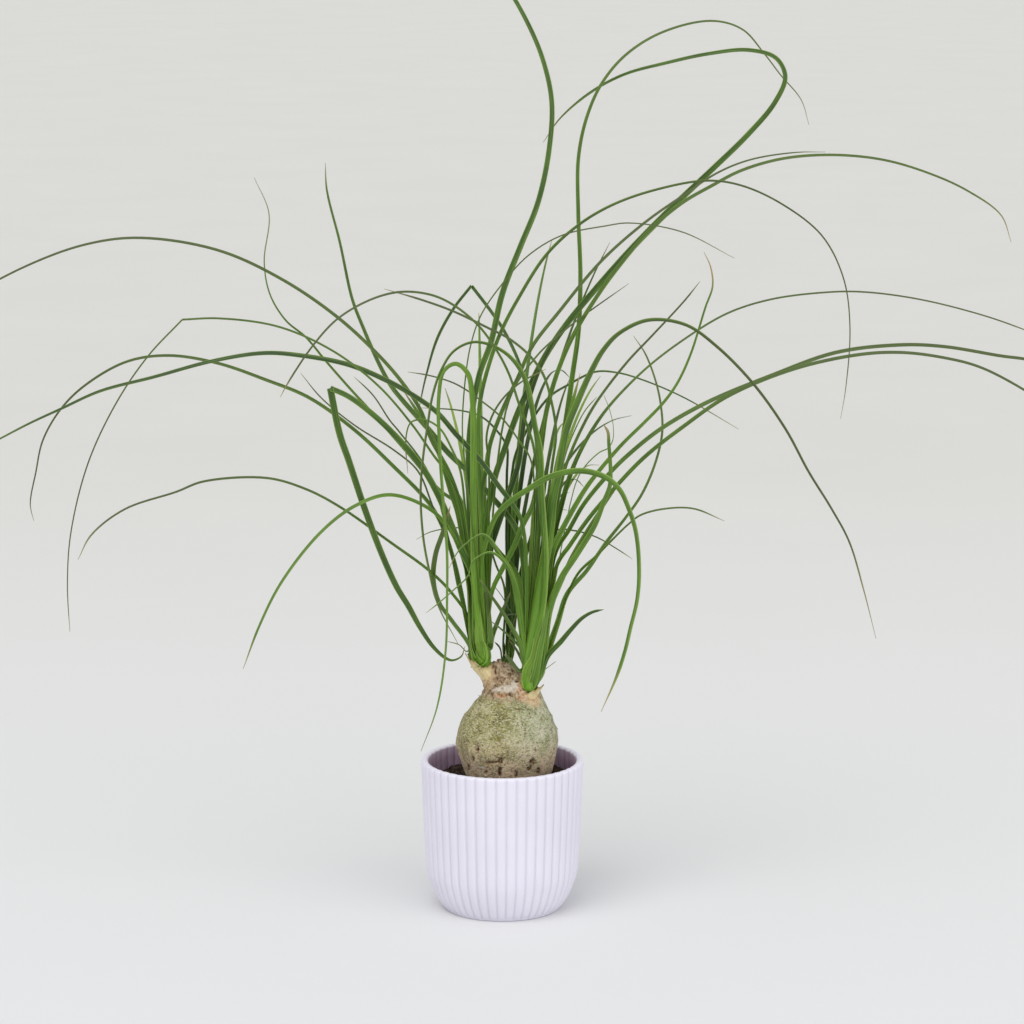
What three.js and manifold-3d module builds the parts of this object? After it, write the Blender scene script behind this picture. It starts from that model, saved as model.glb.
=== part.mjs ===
// Ponytail palm in a ribbed pot: millimetres, +Z up, origin at the middle of the pot's base.
// The front of the plant looks towards -Y, and +X is to the right.
import * as THREE from "three";
import { mergeVertices } from "three/addons/utils/BufferGeometryUtils.js";
import Module from "manifold-3d";

const wasm = await Module();
wasm.setup();

// Pot: radius and height of its outside, from the foot to the rim
const POT_HEIGHT = 130;
const POT_RIM_RADIUS = 70;
const POT_OUTSIDE = [
  [50, 0],
  [54, 4.7],
  [59.2, 13.6],
  [62.5, 22.5],
  [65.7, 34],
  [POT_RIM_RADIUS, POT_HEIGHT],
];
const RIM_INNER_RADIUS = 63.5;
const POT_WALL = 5;
const POT_FLOOR = 6;
const RIB_COUNT = 48;
const RIB_DEPTH = 1.5;
const SIDES_PER_RIB = 2;
const GROOVE_TURN = 3;

// Soil, and the gap kept wherever two pieces rest in one another
const SOIL_TOP = 113;
const SOIL_LUMP = 2;
const SOIL_SIDES = 28;
const GAP = 0.3;

// Swollen trunk: height, radius, middle across and middle in depth of each ring
const TRUNK_RINGS = [
  [86, 14, 5, 0],
  [90, 26, 5, 0],
  [98, 33, 5, 0],
  [110, 36, 5, 0],
  [117, 36.8, 5, 0],
  [123, 38.8, 5, 0],
  [134, 41.8, 4.5, 0],
  [145, 43.8, 4, 0],
  [155, 42.9, 4.5, 0],
  [168, 38.6, 5, 0],
  [179.5, 31, 6.5, 0],
  [187, 25.5, 8, 0],
  [193, 23, 7.5, 0],
  [201, 20, 4, 1],
  [208, 14, 0, 2],
  [214, 6, -1, 2],
];
const TRUNK_SIDES = 22;
const HOLE_FLOOR = 85.5;
const HOLE_RADIUS = 37.4;

// The trunk carries three crowns of leaves, each on a stub: the stub's start inside the neck, the
// seat on top of it, the way the crown leans, and the radius of its foot where that is widest
const CROWNS = {
  left: { start: [-4, 0, 188], seat: [-17, -5, 212], lean: [-0.14, -0.06, 1], foot: 9.3 },
  right: { start: [17, -7, 168], seat: [22.4, -12, 191], lean: [0.2, -0.1, 1], foot: 9 },
  back: { start: [4, 9, 183], seat: [4, 17, 205], lean: [0.02, 0.2, 1], foot: 5.4 },
};
const SEAT_SHARE = 0.74;
const WAIST_SHARE = 0.54;
const FOOT_HEIGHT = 40;
const SHEATH_WALL = 1.4;
const SHEATH_DEPTH = 9;
const SHEATH_RISE = 7;
const SHEATH_NOTCH = 2.5;
const CROWN_SIDES = 14;

// Blades are three-sided, with a flat upper face and a keel below
const BLADE_THICKNESS = 0.75;
const THICKNESS_PER_WIDTH = 0.1;
const TIP_WIDTH = 0.9;
const ROOT_SHARE = 0.6;
const SPANS_PER_POINT = 1.1;

// Leaf points are written as they look from the front, across and up in the upright plane through
// the pot's axis. The depths move them away from the eye (or nearer, if negative) along its rays.
const EYE = new THREE.Vector3(8.4, -3008.3, 913.5);

// Each leaf: name, [width low down, half way, near the tip], [depth at its first point, half way,
// at its tip], roll of the upper face towards the eye in degrees, points from the root end.
const LEFT_LEAVES = [
  ["front loop", [8.5, 3.6, 1.6], [-14, -55, -110], 10,
    [[-21, 262], [-23, 300], [-24, 350], [-24, 400], [-25, 445], [-29, 466], [-39, 474], [-49, 468],
     [-53.5, 445], [-53, 405], [-50, 355], [-47, 313], [-47, 275], [-48.5, 225], [-56, 176], [-70, 137]]],
  ["top left arch", [4.5, 3.5, 2], [-5, 15, 40], 50,
    [[-28, 300], [-35, 350], [-45, 380.5], [-60.5, 410], [-69, 434], [-84.5, 458], [-105, 482],
     [-138, 513], [-184, 545], [-238, 570], [-303.5, 580.5], [-349, 575], [-400, 556.5], [-452, 528],
     [-500, 490]]],
  ["middle left arch", [3.8, 3.3, 1.6], [-2, 45, 85], 80,
    [[-40, 300], [-52, 337], [-63, 355.5], [-93, 387], [-125, 417.5], [-163, 445], [-200, 460.5],
     [-240, 474.5], [-281, 481], [-316, 476], [-351, 456.5], [-373, 435.5], [-389, 408.5],
     [-395.5, 381.5], [-401, 353.5], [-398.5, 339]]],
  ["short thin leaf", [2.4, 2, 1.2], [-10, -25, -40], 50,
    [[-33.5, 263], [-38, 282], [-46, 320], [-58.5, 350], [-71.5, 382], [-91, 399.5], [-125, 421.5],
     [-153, 445], [-170, 466]]],
  ["short thin leaf above", [2.4, 1.8, 1.2], [-8, -20, -25], 50,
    [[-60, 375], [-86.5, 415], [-95, 425.5], [-109, 447], [-125, 463]]],
  ["low waved arch", [4, 2.8, 1.6], [-8, -70, -140], 50,
    [[-28.5, 253], [-43.5, 276.5], [-61.5, 295], [-95.5, 320.5], [-138, 351], [-167, 366.5],
     [-200, 376], [-253.5, 373], [-277, 364], [-321, 349], [-350, 326.5], [-361.5, 305.5]]],
  ["low front arch", [7, 3.4, 2], [-14, -75, -135], 55,
    [[-30, 290], [-43, 328], [-61.5, 349], [-95.5, 361.5], [-125, 352], [-154.5, 329], [-188.5, 285.5],
     [-208, 247], [-222, 210]]],
  ["leaf curled in", [7, 6, 4], [-8, -25, -35], 50,
    [[-43, 253], [-54, 269], [-58.5, 288], [-56.5, 310], [-50, 330], [-44, 352]]],
  ["thin drooping leaf", [2.4, 2, 1.2], [-12, -30, -50], -40,
    [[-25, 300], [-31, 346], [-35.5, 382.5], [-43, 402], [-53, 419], [-65.5, 426], [-77, 424],
     [-81.5, 410], [-80, 380]]],
  ["long thread to the right", [2.2, 1.6, 1.2], [-32, -38, -60], 50,
    [[-31.5, 390], [-33.5, 420], [-30.5, 464.5], [-26, 491], [-17.5, 515.5], [0.5, 542], [22.5, 566],
     [50, 582.5], [86.5, 590.5], [107, 593], [151, 585.5], [195, 563.5]]],
  ["tallest leaf", [4.6, 5.2, 3.4], [-5, 30, 90], 50,
    [[-23, 270], [-28, 350], [-28.5, 398], [-26, 428], [-19, 465.5], [-9.5, 492], [0.5, 534.5],
     [15.5, 573.5], [30, 610], [39, 652], [41.5, 693.5], [34.5, 727.5], [21, 760], [0, 795],
     [-22, 820], [-42, 835]]],
  ["long right arch", [4.5, 3.5, 1.4], [-10, -50, -120], -60,
    [[-20, 420], [-17.5, 447.5], [-8.5, 481], [0, 503], [13.5, 529], [37, 566], [63, 590.5], [92, 608],
     [129, 621], [171, 628.5], [200, 624.5], [235, 608.5], [268.5, 582], [287, 546], [293, 505],
     [290.5, 454.5], [286.5, 427]]],
  ["high right leaf", [4.5, 3.5, 1.5], [-4, 15, 55], 50,
    [[-17.5, 363], [-13, 385], [-10, 405], [0.5, 434.5], [13, 461], [25.5, 488.5], [48, 518], [83, 560.5],
     [118, 592], [150, 615], [180, 635], [207.5, 646], [244.5, 652], [270, 652.5]]],
  ["looped tall leaf", [5.5, 5.5, 2.2], [-4, 40, 75], 70,
    [[-14.5, 333.5], [-10.5, 357], [-5.5, 379.5], [1.5, 400], [13, 432], [24.5, 457.5], [37, 482],
     [52.5, 505.5], [70, 527.5], [107, 570], [144, 608], [176.5, 639], [204.5, 666.5], [227, 693.5],
     [235.5, 715], [227.5, 730.5], [205, 737], [172, 734], [135, 726], [102, 717], [74.5, 702.5],
     [48.5, 680.5], [34.5, 660.5]]],
  ["longest right arch", [6, 4, 1.6], [-10, 8, -40], 65,
    [[-8, 277], [0.5, 296.5], [10.5, 317], [18, 335.5], [26.5, 353.5], [34, 407], [37.5, 432], [44, 457.5],
     [52, 480], [61.5, 500.5], [76, 525], [94, 551], [125, 588], [151, 610], [175, 624], [200, 637],
     [235, 647], [275.5, 650], [318, 646], [356, 635], [389.5, 620], [418, 599.5], [427, 577]]],
  ["thin leaf in the fan", [2, 1.8, 1.2], [-5, 5, 20], 50,
    [[5, 440], [28.5, 479.5], [53.5, 503], [71.5, 517], [106.5, 542]]],
  ["small leaf in the fan", [3, 2.4, 1.4], [-8, -15, -25], 50,
    [[-11, 386], [-13, 412], [-8.5, 429], [1, 444.5], [15, 457.5], [37, 469.5]]],
  ["arch over the right crown", [3.4, 5.6, 5], [-16, -90, -160], 0,
    [[-18, 300], [-14, 320], [-5, 343.5], [6.5, 355.5], [22.5, 366.5], [43, 378], [68, 382], [88.5, 376],
     [99.5, 366], [107, 350.5], [113.5, 329.5], [116.5, 296.5], [115, 270.5], [109.5, 246], [105, 226],
     [97.5, 202], [85, 172]]],
  ["broad leaf at the left", [6, 5.5, 2.4], [-4, 12, 28], 50,
    [[-30, 300], [-37, 345], [-44, 367], [-51, 390], [-61, 415], [-71, 432], [-84, 452]]],
  ["dark broad leaf", [8, 6.5, 3], [0, 8, 10], 70,
    [[-10.5, 312], [-5, 331], [6, 363], [14, 388], [20, 432], [33, 472], [52, 508]]],
];

const RIGHT_LEAVES = [
  ["outer loop", [9, 5, 4.4], [-18, -50, -75], -10,
    [[33, 260], [36, 308.5], [33, 358.5], [31.5, 400], [27.5, 420], [19.5, 459.5], [7, 479],
     [-9.5, 489.5], [-25, 492], [-40.5, 484.5], [-51.5, 467.5], [-58.5, 446.5], [-63, 420], [-67, 391.5],
     [-69, 362], [-67, 325.5], [-62.5, 298.5], [-54.5, 265.5], [-38, 232]]],
  ["dark leaf to the wall side", [5, 4, 1.5], [4, 60, 102], 50,
    [[14.5, 325.5], [4.5, 343.5], [-10, 361], [-19, 371], [-27.5, 380.5], [-45, 397], [-61.5, 417],
     [-83.5, 442], [-94, 455.5], [-105, 476.5], [-117.5, 506], [-126, 529], [-136, 577], [-146.5, 621],
     [-147.5, 643.5]]],
  ["long dark left arch", [5, 5, 2.5], [-24, -14, -40], 70,
    [[16.5, 337], [5, 358], [-3.5, 369.5], [-18.5, 391], [-38.7, 413], [-56, 433], [-79.5, 449.5],
     [-100.5, 461], [-129.5, 473], [-167, 480.5], [-200, 483], [-243, 476.5], [-294.5, 462.5],
     [-340, 450.5], [-373, 435.5], [-399, 423.5], [-426, 409.5], [-465, 389], [-500, 370]]],
  ["thin left arch", [3.4, 2.4, 1.6], [-16, -60, -95], 50,
    [[31, 350], [27, 400], [22.5, 417], [14, 440], [6, 464.5], [-4.5, 485], [-20.5, 507], [-42, 524.5],
     [-60, 532.5], [-84.5, 535], [-109, 529], [-138, 512.5], [-159, 490], [-180, 459], [-187.5, 445.5]]],
  ["thin left leaf", [3, 2.6, 1.4], [-14, -20, -35], 50,
    [[42, 385], [45.5, 415], [42, 440], [34.5, 465], [22.5, 481.5], [5.5, 495.5], [-11, 504],
     [-41, 518.5], [-67, 528], [-99, 537.5]]],
  ["long upper left leaf", [5, 3.5, 1.4], [0, 54, 100], 50,
    [[13, 292], [-2.5, 313], [-20, 335], [-37, 354], [-53, 366], [-80, 398], [-109.5, 432], [-127.5, 452],
     [-149, 477], [-165, 496.5], [-182, 511], [-195, 533], [-199.5, 560.5], [-195, 601], [-207, 631]]],
  ["low thread to the left", [2, 1.6, 1.2], [-15, -24, -28], 50,
    [[25.5, 387], [13, 410], [-1.5, 429], [-18.5, 443], [-28.5, 450.5], [-42, 458], [-61.5, 464],
     [-79.5, 467]]],
  ["tall arch", [6.2, 3.4, 1.6], [-6, 48, 80], 50,
    [[33, 300], [40, 340], [47, 380], [55, 430], [59.5, 463.5], [64.5, 501.5], [66, 550], [64, 601],
     [64, 648], [71, 682], [83.5, 710], [103.5, 733.5], [134, 752], [174, 761], [199.5, 754],
     [217.5, 734.5], [232, 716], [249, 696], [256, 675]]],
  ["great right arch", [9, 4, 1.8], [-20, -75, -145], 0,
    [[39.5, 325.5], [43.5, 358.5], [48, 380], [54, 415], [64, 441.5], [75, 466.5], [85.5, 485.5],
     [99, 500], [123.5, 511], [154.5, 507], [180.5, 489], [212, 457], [240, 418], [260, 381.5],
     [280, 349.5], [295.5, 321], [308.5, 279.5], [320, 236.5]]],
  ["thin right leaf", [3, 2.6, 1.4], [-14, -5, 10], 50,
    [[50, 370], [56, 392], [70.5, 425], [82, 444.5], [106, 476], [126, 497.5], [153, 527], [166.5, 544]]],
  ["upper right arch", [6.4, 2, 2], [-8, 30, 75], 50,
    [[43, 320], [50, 350], [57, 375.5], [65, 396], [79, 421.5], [92.5, 440], [120.5, 469], [151, 493],
     [189, 516.5], [225.5, 528.5], [271, 534.5], [302.5, 535], [349.5, 529], [402, 516], [438.5, 503.5],
     [500, 478]]],
  ["leaf turned up", [5.5, 4.6, 1.8], [-16, -35, -45], 50,
    [[42.5, 312], [50, 329.5], [60, 348.5], [71.5, 368], [82, 382], [101.5, 405], [120.5, 424],
     [136.5, 441], [148, 457.5], [159, 482], [171, 521.5], [177, 540], [175, 556.5], [169.5, 568.5]]],
  ["right arch", [4.4, 2.8, 2], [-14, -10, 20], 50,
    [[45.5, 310.5], [57, 331], [70, 354], [93, 382], [111, 399.5], [135.5, 419], [172.5, 440.5],
     [226.5, 463.5], [281.5, 483.5], [336.5, 490], [373, 488.5], [421.5, 480.5], [441, 478], [480, 470],
     [520, 458]]],
  ["right arch below", [5, 4, 2.6], [-18, -55, -105], 50,
    [[47, 300], [58.5, 318.5], [73.5, 340.5], [96, 367.5], [121, 394], [154, 420.5], [190.5, 446],
     [245, 469], [300, 481.5], [336.5, 483.5], [373, 479], [403.5, 471], [440.5, 452], [472, 431],
     [500, 405]]],
  ["leaf curved upright", [6.5, 2.8, 1.6], [-10, 0, 20], 50,
    [[47, 250], [55.5, 276], [72, 296], [88.5, 320.5], [105, 342], [118.5, 362], [129.5, 388],
     [135.5, 415], [134, 440], [129, 461.5], [120.5, 483], [110.5, 498]]],
  ["leaf with a dry tip", [7, 4.4, 2.4], [-18, -40, -55], -50,
    [[40, 260], [51, 290], [63.5, 309.5], [78.5, 334.5], [86.5, 355.5], [91.5, 369.5], [92, 383.5],
     [90.5, 405], [89.5, 416], [85.5, 422.5]]],
  ["low right leaf", [4.5, 3, 1.6], [-16, -50, -85], 50,
    [[63, 290], [80, 308], [92, 320.5], [107, 335.5], [118, 344], [139, 349.5], [163, 349.5], [189, 339]]],
  ["leaf under the right arch", [6, 5, 2.4], [-12, -4, 6], 50,
    [[36, 248], [43, 269], [51, 288], [61, 310], [74, 333], [90, 358], [104, 379]]],
  ["small low leaf", [4.5, 4.5, 2.4], [-18, -30, -42], -70,
    [[39, 221], [50, 233.5], [59, 244.5], [68, 254], [77, 259.5], [87, 262]]],
  ["short bent leaf", [2.2, 2, 1.4], [-14, -25, -40], -60,
    [[62, 370], [69.5, 385], [82.5, 398], [89.5, 401.5], [93.5, 408], [94, 420], [91, 434], [86, 447]]],
  ["front leaf to the left", [5, 4, 2], [-20, -45, -70], -50,
    [[12, 275], [6.5, 296.5], [-2, 309], [-11.5, 324], [-18, 327], [-25.5, 323], [-37, 313],
     [-45.5, 298]]],
  ["front thread to the left", [3.5, 2.4, 1.4], [-20, -50, -80], -50,
    [[15, 270], [2.5, 302], [-7.5, 311], [-14, 311], [-25.5, 303], [-28.5, 292], [-43, 277.5],
     [-55.5, 266.5], [-65, 259]]],
  ["short leaf to the left", [5, 4, 2], [-18, -26, -36], -60,
    [[14.5, 233.5], [7, 248], [-3, 264.5], [-12.5, 278], [-19, 288]]],
];

const BACK_LEAVES = [
  ["thin leaf to the left", [2.6, 2.2, 1.4], [16, 25, 40], 50,
    [[4, 380], [4.5, 390], [4, 403], [-5.5, 418], [-18, 429], [-35, 434], [-70.5, 436.5]]],
  ["low thread", [2, 1.8, 1.2], [16, 40, 70], 50,
    [[2, 280], [-5, 300], [-15, 325], [-26.5, 331.5], [-39.5, 333], [-60.5, 329.5], [-73, 323]]],
  ["thread to the right", [2, 1.8, 1.2], [16, 35, 60], 50,
    [[14, 280], [30, 310], [46, 330.5], [61.5, 330.5], [80, 325], [96.5, 315.5], [111, 306]]],
  ["thin leaf to the right", [3, 2.4, 1.4], [16, 35, 60], 50,
    [[10, 390], [20, 415], [27.5, 429.5], [41, 446.5], [56, 456], [78.5, 467], [96.5, 466.5],
     [116.5, 461], [152, 446], [200.5, 418]]],
  ["dark upright leaf", [5, 4, 2], [15, 18, 26], 50,
    [[5.5, 250.5], [5.5, 271.5], [5, 290], [4, 313], [4, 342], [7, 372], [12, 398]]],
];

// Leaves with a sharp fold: the rising piece, then the piece that hangs from the end of it
const LEFT_FOLDED = [
  {
    rising: ["folded leaf", [8, 7, 5], [-16, -45, -80], 65,
      [[-25, 290], [-36.5, 317], [-45, 338.5], [-55.5, 363], [-67, 383.5], [-88, 409.5], [-110, 431],
       [-130, 446], [-145, 453]]],
    hanging: ["folded leaf", [5.8, 5.2, 1.6], [-80, -52, -28], 50,
      [[-145, 453], [-137.5, 414.5], [-130, 391.5], [-116.8, 350], [-102.3, 310], [-90, 282], [-80, 265],
       [-70.5, 247], [-59.5, 230], [-48.5, 219.5], [-42.5, 217.5], [-35, 221], [-32, 229.5]]],
  },
  {
    rising: ["kinked thin leaf", [3, 2.6, 2], [-8, -50, -85], 50,
      [[-32, 342], [-46.5, 380], [-57.5, 394.5], [-76, 421.5], [-104.5, 455], [-143, 485], [-188.5, 505.5],
       [-238.5, 512.5], [-269, 511.5]]],
    hanging: ["kinked thin leaf", [2, 1.8, 1.2], [-85, -105, -135], 50,
      [[-269, 511.5], [-298, 481], [-325.5, 441.5], [-351, 389], [-367, 329], [-371, 285], [-370, 242.5]]],
  },
];
const RIGHT_FOLDED = [
  {
    rising: ["kinked leaf", [2.6, 2.6, 2.6], [-8, 40, 105], 50,
      [[30, 395], [20, 455], [14, 476], [2, 501.5], [-8.5, 517.5], [-25.5, 540]]],
    hanging: ["kinked leaf", [3.2, 3, 1.8], [105, 106, 100], 50,
      [[-25.5, 540], [-41, 520], [-54.5, 495], [-64, 463.5], [-70, 437]]],
  },
];

// More leaves fill the bundles and the side away from the eye, by rule: how many, and between which
// headings (degrees from +X towards +Y), rises and reaches each one lies.
const FILL = {
  left: { seed: 10, count: 7, heading: [88, 108], rise: [120, 250], reach: [60, 150] },
  right: { seed: 5, count: 9, heading: [62, 98], rise: [120, 250], reach: [60, 150] },
  back: { seed: 35, count: 4, heading: [50, 80], rise: [150, 320], reach: [90, 190] },
};
const FILL_WIDTHS = [6, 4.2, 1.6, 0.9];
const FILL_SPANS = 9;

// Where along a blade its widths hold
const WIDTH_SHARES = [0, 0.12, 0.5, 0.93, 1];

// A random number from 0 to 1 that is the same at every run
function randomFrom(seed) {
  let state = seed;
  return () => {
    state = (state * 16807) % 2147483647;
    return state / 2147483647;
  };
}

// A closed mesh as a solid that can be joined and cut
function solidOf(geometry) {
  const bare = geometry.index ? geometry.toNonIndexed() : geometry.clone();
  const onlyPlaces = new THREE.BufferGeometry().setAttribute("position", bare.getAttribute("position"));
  const merged = mergeVertices(onlyPlaces, 1e-4);
  return new wasm.Manifold(
    new wasm.Mesh({
      numProp: 3,
      vertProperties: new Float32Array(merged.attributes.position.array),
      triVerts: new Uint32Array(merged.index.array),
    }),
  );
}

function geometryOf(solid) {
  const mesh = solid.getMesh();
  const geometry = new THREE.BufferGeometry()
    .setAttribute("position", new THREE.BufferAttribute(mesh.vertProperties, 3))
    .setIndex(new THREE.BufferAttribute(mesh.triVerts, 1));
  geometry.computeVertexNormals();
  return geometry;
}

// The largest body of a solid: loose scraps left by the joins are dropped
function mainBody(solid) {
  const bodies = solid.decompose();
  return bodies.reduce((best, body) => (body.volume() > best.volume() ? body : best));
}

function addMesh(name, solid, material) {
  const mesh = new THREE.Mesh(geometryOf(mainBody(solid)), material);
  mesh.name = name;
  group.add(mesh);
}

// A closed skin over rings of points, each ring running anticlockwise seen from its far end
function skin(rings) {
  const places = [];
  const count = rings[0].length;
  const middle = (ring) => ring.reduce((sum, p) => sum.add(p), new THREE.Vector3()).divideScalar(count);
  const triangle = (...points) => points.forEach((p) => places.push(p.x, p.y, p.z));
  for (let i = 0; i + 1 < rings.length; i += 1) {
    for (let k = 0; k < count; k += 1) {
      const next = (k + 1) % count;
      triangle(rings[i][k], rings[i][next], rings[i + 1][next]);
      triangle(rings[i][k], rings[i + 1][next], rings[i + 1][k]);
    }
  }
  const ends = [rings[0], rings[rings.length - 1]];
  if (count === 3) {
    triangle(ends[0][2], ends[0][1], ends[0][0]);
    triangle(ends[1][0], ends[1][1], ends[1][2]);
  } else {
    const [low, high] = ends.map(middle);
    for (let k = 0; k < count; k += 1) {
      const next = (k + 1) % count;
      triangle(ends[0][next], ends[0][k], low);
      triangle(ends[1][k], ends[1][next], high);
    }
  }
  return new THREE.BufferGeometry().setAttribute("position", new THREE.Float32BufferAttribute(places, 3));
}

// A ring of points round a middle, in the plane across an axis
function ringAt(middle, axis, radius, sides, ripple = () => 0) {
  const across = new THREE.Vector3(0, 1, 0).cross(axis).normalize();
  const beside = axis.clone().cross(across).normalize();
  return Array.from({ length: sides }, (_, k) => {
    const angle = (2 * Math.PI * k) / sides;
    const r = radius + ripple(angle);
    return middle
      .clone()
      .addScaledVector(across, r * Math.cos(angle))
      .addScaledVector(beside, r * Math.sin(angle));
  });
}

const UP = new THREE.Vector3(0, 0, 1);

// Pot: a lathed wall whose outside is pressed into ribs
function potSolid() {
  const inner = [
    [RIM_INNER_RADIUS, POT_HEIGHT - 1],
    [RIM_INNER_RADIUS - 1.2, POT_HEIGHT - 60],
    [POT_OUTSIDE[4][0] - POT_WALL - 1, 34],
    [POT_OUTSIDE[2][0] - POT_WALL - 2, 14],
    [POT_OUTSIDE[1][0] - POT_WALL - 3, POT_FLOOR],
    [0, POT_FLOOR],
  ];
  const rimTop = [
    [POT_RIM_RADIUS - 1.5, POT_HEIGHT + 0.6],
    [RIM_INNER_RADIUS + 0.8, POT_HEIGHT + 0.6],
  ];
  const profile = [[0, 0], ...POT_OUTSIDE, ...rimTop, ...inner].map(([r, z]) => new THREE.Vector2(r, z));
  const lathe = new THREE.LatheGeometry(profile, RIB_COUNT * SIDES_PER_RIB);
  lathe.rotateX(Math.PI / 2);
  lathe.rotateZ(THREE.MathUtils.degToRad(GROOVE_TURN));
  const place = lathe.getAttribute("position");
  const outerVertices = POT_OUTSIDE.length + 2;
  for (let i = 0; i < place.count; i += 1) {
    const ringIndex = i % profile.length;
    const side = Math.floor(i / profile.length);
    const isOutside = ringIndex >= 1 && ringIndex < outerVertices;
    if (isOutside && side % SIDES_PER_RIB === 0) {
      const radius = Math.hypot(place.getX(i), place.getY(i));
      const share = (radius - RIB_DEPTH) / radius;
      place.setXY(i, place.getX(i) * share, place.getY(i) * share);
    }
  }
  return solidOf(lathe);
}

// Radius of the pot's inside at a height
function potInside(z) {
  const outside = POT_OUTSIDE.findIndex(([, height]) => height >= z);
  const [[r0, z0], [r1, z1]] = [POT_OUTSIDE[Math.max(outside - 1, 0)], POT_OUTSIDE[outside]];
  const radius = r0 + ((r1 - r0) * (z - z0)) / (z1 - z0 || 1);
  return Math.min(radius - POT_WALL - 4, RIM_INNER_RADIUS - 3.4);
}

// Soil: fills the pot to below its rim, lumpy on top, with a plain hole for the trunk
function soilSolid() {
  const random = randomFrom(23);
  const heights = [POT_FLOOR + GAP, 16, 34, 100, SOIL_TOP];
  const rings = heights.map((z) => ringAt(new THREE.Vector3(0, 0, z), UP, potInside(z), SOIL_SIDES));
  [56, 50, 44].forEach((radius, row) => {
    const ring = ringAt(new THREE.Vector3(2 * row, 0, SOIL_TOP), UP, radius, SOIL_SIDES);
    ring.forEach((p) => p.setZ(p.z + SOIL_LUMP * (random() - 0.3)));
    rings.push(ring);
  });
  const [holeX, holeY] = [TRUNK_RINGS[0][2], TRUNK_RINGS[0][3]];
  const hole = [HOLE_FLOOR, SOIL_TOP + 10].map((z) =>
    ringAt(new THREE.Vector3(holeX, holeY, z), UP, HOLE_RADIUS, SOIL_SIDES),
  );
  return solidOf(skin(rings)).subtract(solidOf(skin(hole)));
}

// A crown's own axis, its seat, the start of its stub, and the stub's waist below the seat
function crownFrame(crown) {
  const seat = new THREE.Vector3(...crown.seat);
  const start = new THREE.Vector3(...crown.start);
  const waist = seat.clone().addScaledVector(start.clone().sub(seat).normalize(), SHEATH_DEPTH);
  return { seat, start, waist, axis: new THREE.Vector3(...crown.lean).normalize() };
}

// Trunk: a swollen bulb that narrows to a neck, with a stub under each crown
function trunkSolid() {
  const ripple = (ring) => (angle) => 0.5 * Math.sin(5 * angle + ring) + 0.4 * Math.sin(9 * angle + 2 * ring);
  const rings = TRUNK_RINGS.map(([z, radius, x, y], i) => {
    const isUnderground = z < SOIL_TOP + GAP;
    return ringAt(new THREE.Vector3(x, y, z), UP, radius, TRUNK_SIDES, isUnderground ? () => 0 : ripple(i));
  });
  let trunk = solidOf(skin(rings));
  for (const crown of Object.values(CROWNS)) {
    const { start, seat, axis, waist } = crownFrame(crown);
    const stub = [
      ringAt(start, axis, crown.foot, CROWN_SIDES),
      ringAt(waist, axis, WAIST_SHARE * crown.foot, CROWN_SIDES),
      ringAt(seat, axis, SEAT_SHARE * crown.foot, CROWN_SIDES),
    ];
    trunk = trunk.subtract(solidOf(skin(crownRoom(crown)))).add(solidOf(skin(stub)));
  }
  return trunk;
}

// The flared space that a sheath and the leaves above it take
function crownRoom(crown) {
  const { seat, axis, waist } = crownFrame(crown);
  const room = (p, along, radius) =>
    ringAt(p.clone().addScaledVector(axis, along), axis, radius + SHEATH_WALL + 2 * GAP, CROWN_SIDES);
  return [
    room(waist, -GAP, WAIST_SHARE * crown.foot),
    room(seat, 0, SEAT_SHARE * crown.foot),
    room(seat, SHEATH_RISE - SHEATH_NOTCH, crown.foot),
    room(seat, FOOT_HEIGHT, crown.foot),
  ];
}

// Sheath: the pale dry leaf bases that clasp the stub and the foot of a crown, with pointed tops
function sheathSolid(crown) {
  const { seat, axis, waist } = crownFrame(crown);
  const top = seat.clone().addScaledVector(axis, SHEATH_RISE);
  const levels = [
    [waist, WAIST_SHARE * crown.foot],
    [seat, SEAT_SHARE * crown.foot],
    [top, crown.foot],
  ];
  const outside = levels.map(([p, radius]) => ringAt(p, axis, radius + GAP + SHEATH_WALL, CROWN_SIDES));
  const inside = levels.map(([p, radius]) => ringAt(p, axis, radius + GAP, CROWN_SIDES));
  const notch = (ring) => ring.forEach((p, k) => p.addScaledVector(axis, k % 2 ? -SHEATH_NOTCH : 0));
  notch(outside[2]);
  notch(inside[2]);
  const rings = [...outside, ...inside.reverse()];
  const places = [];
  rings.forEach((ring, i) => {
    const above = rings[(i + 1) % rings.length];
    ring.forEach((p, k) => {
      const next = (k + 1) % CROWN_SIDES;
      const corners = [p, ring[next], above[next], p, above[next], above[k]];
      corners.forEach((c) => places.push(c.x, c.y, c.z));
    });
  });
  return solidOf(
    new THREE.BufferGeometry().setAttribute("position", new THREE.Float32BufferAttribute(places, 3)),
  );
}

// A point as it looks from the front, moved along its line of sight to a depth
function fromView(across, up, depth) {
  const stretch = 1 + depth / -EYE.y;
  return new THREE.Vector3(EYE.x + (across - EYE.x) * stretch, depth, EYE.z + (up - EYE.z) * stretch);
}

// A value that passes through three others at the start, half way and at the end
function through([start, half, end], s) {
  return start * (1 - s) * (1 - 2 * s) + 4 * half * s * (1 - s) + end * s * (2 * s - 1);
}

function leafPoints([, , depths, , points]) {
  const lengths = [0];
  for (let i = 1; i < points.length; i += 1) {
    const step = Math.hypot(points[i][0] - points[i - 1][0], points[i][1] - points[i - 1][1]);
    lengths.push(lengths[i - 1] + step);
  }
  const whole = lengths[lengths.length - 1];
  return points.map(([across, up], i) => fromView(across, up, through(depths, lengths[i] / whole)));
}

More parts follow.
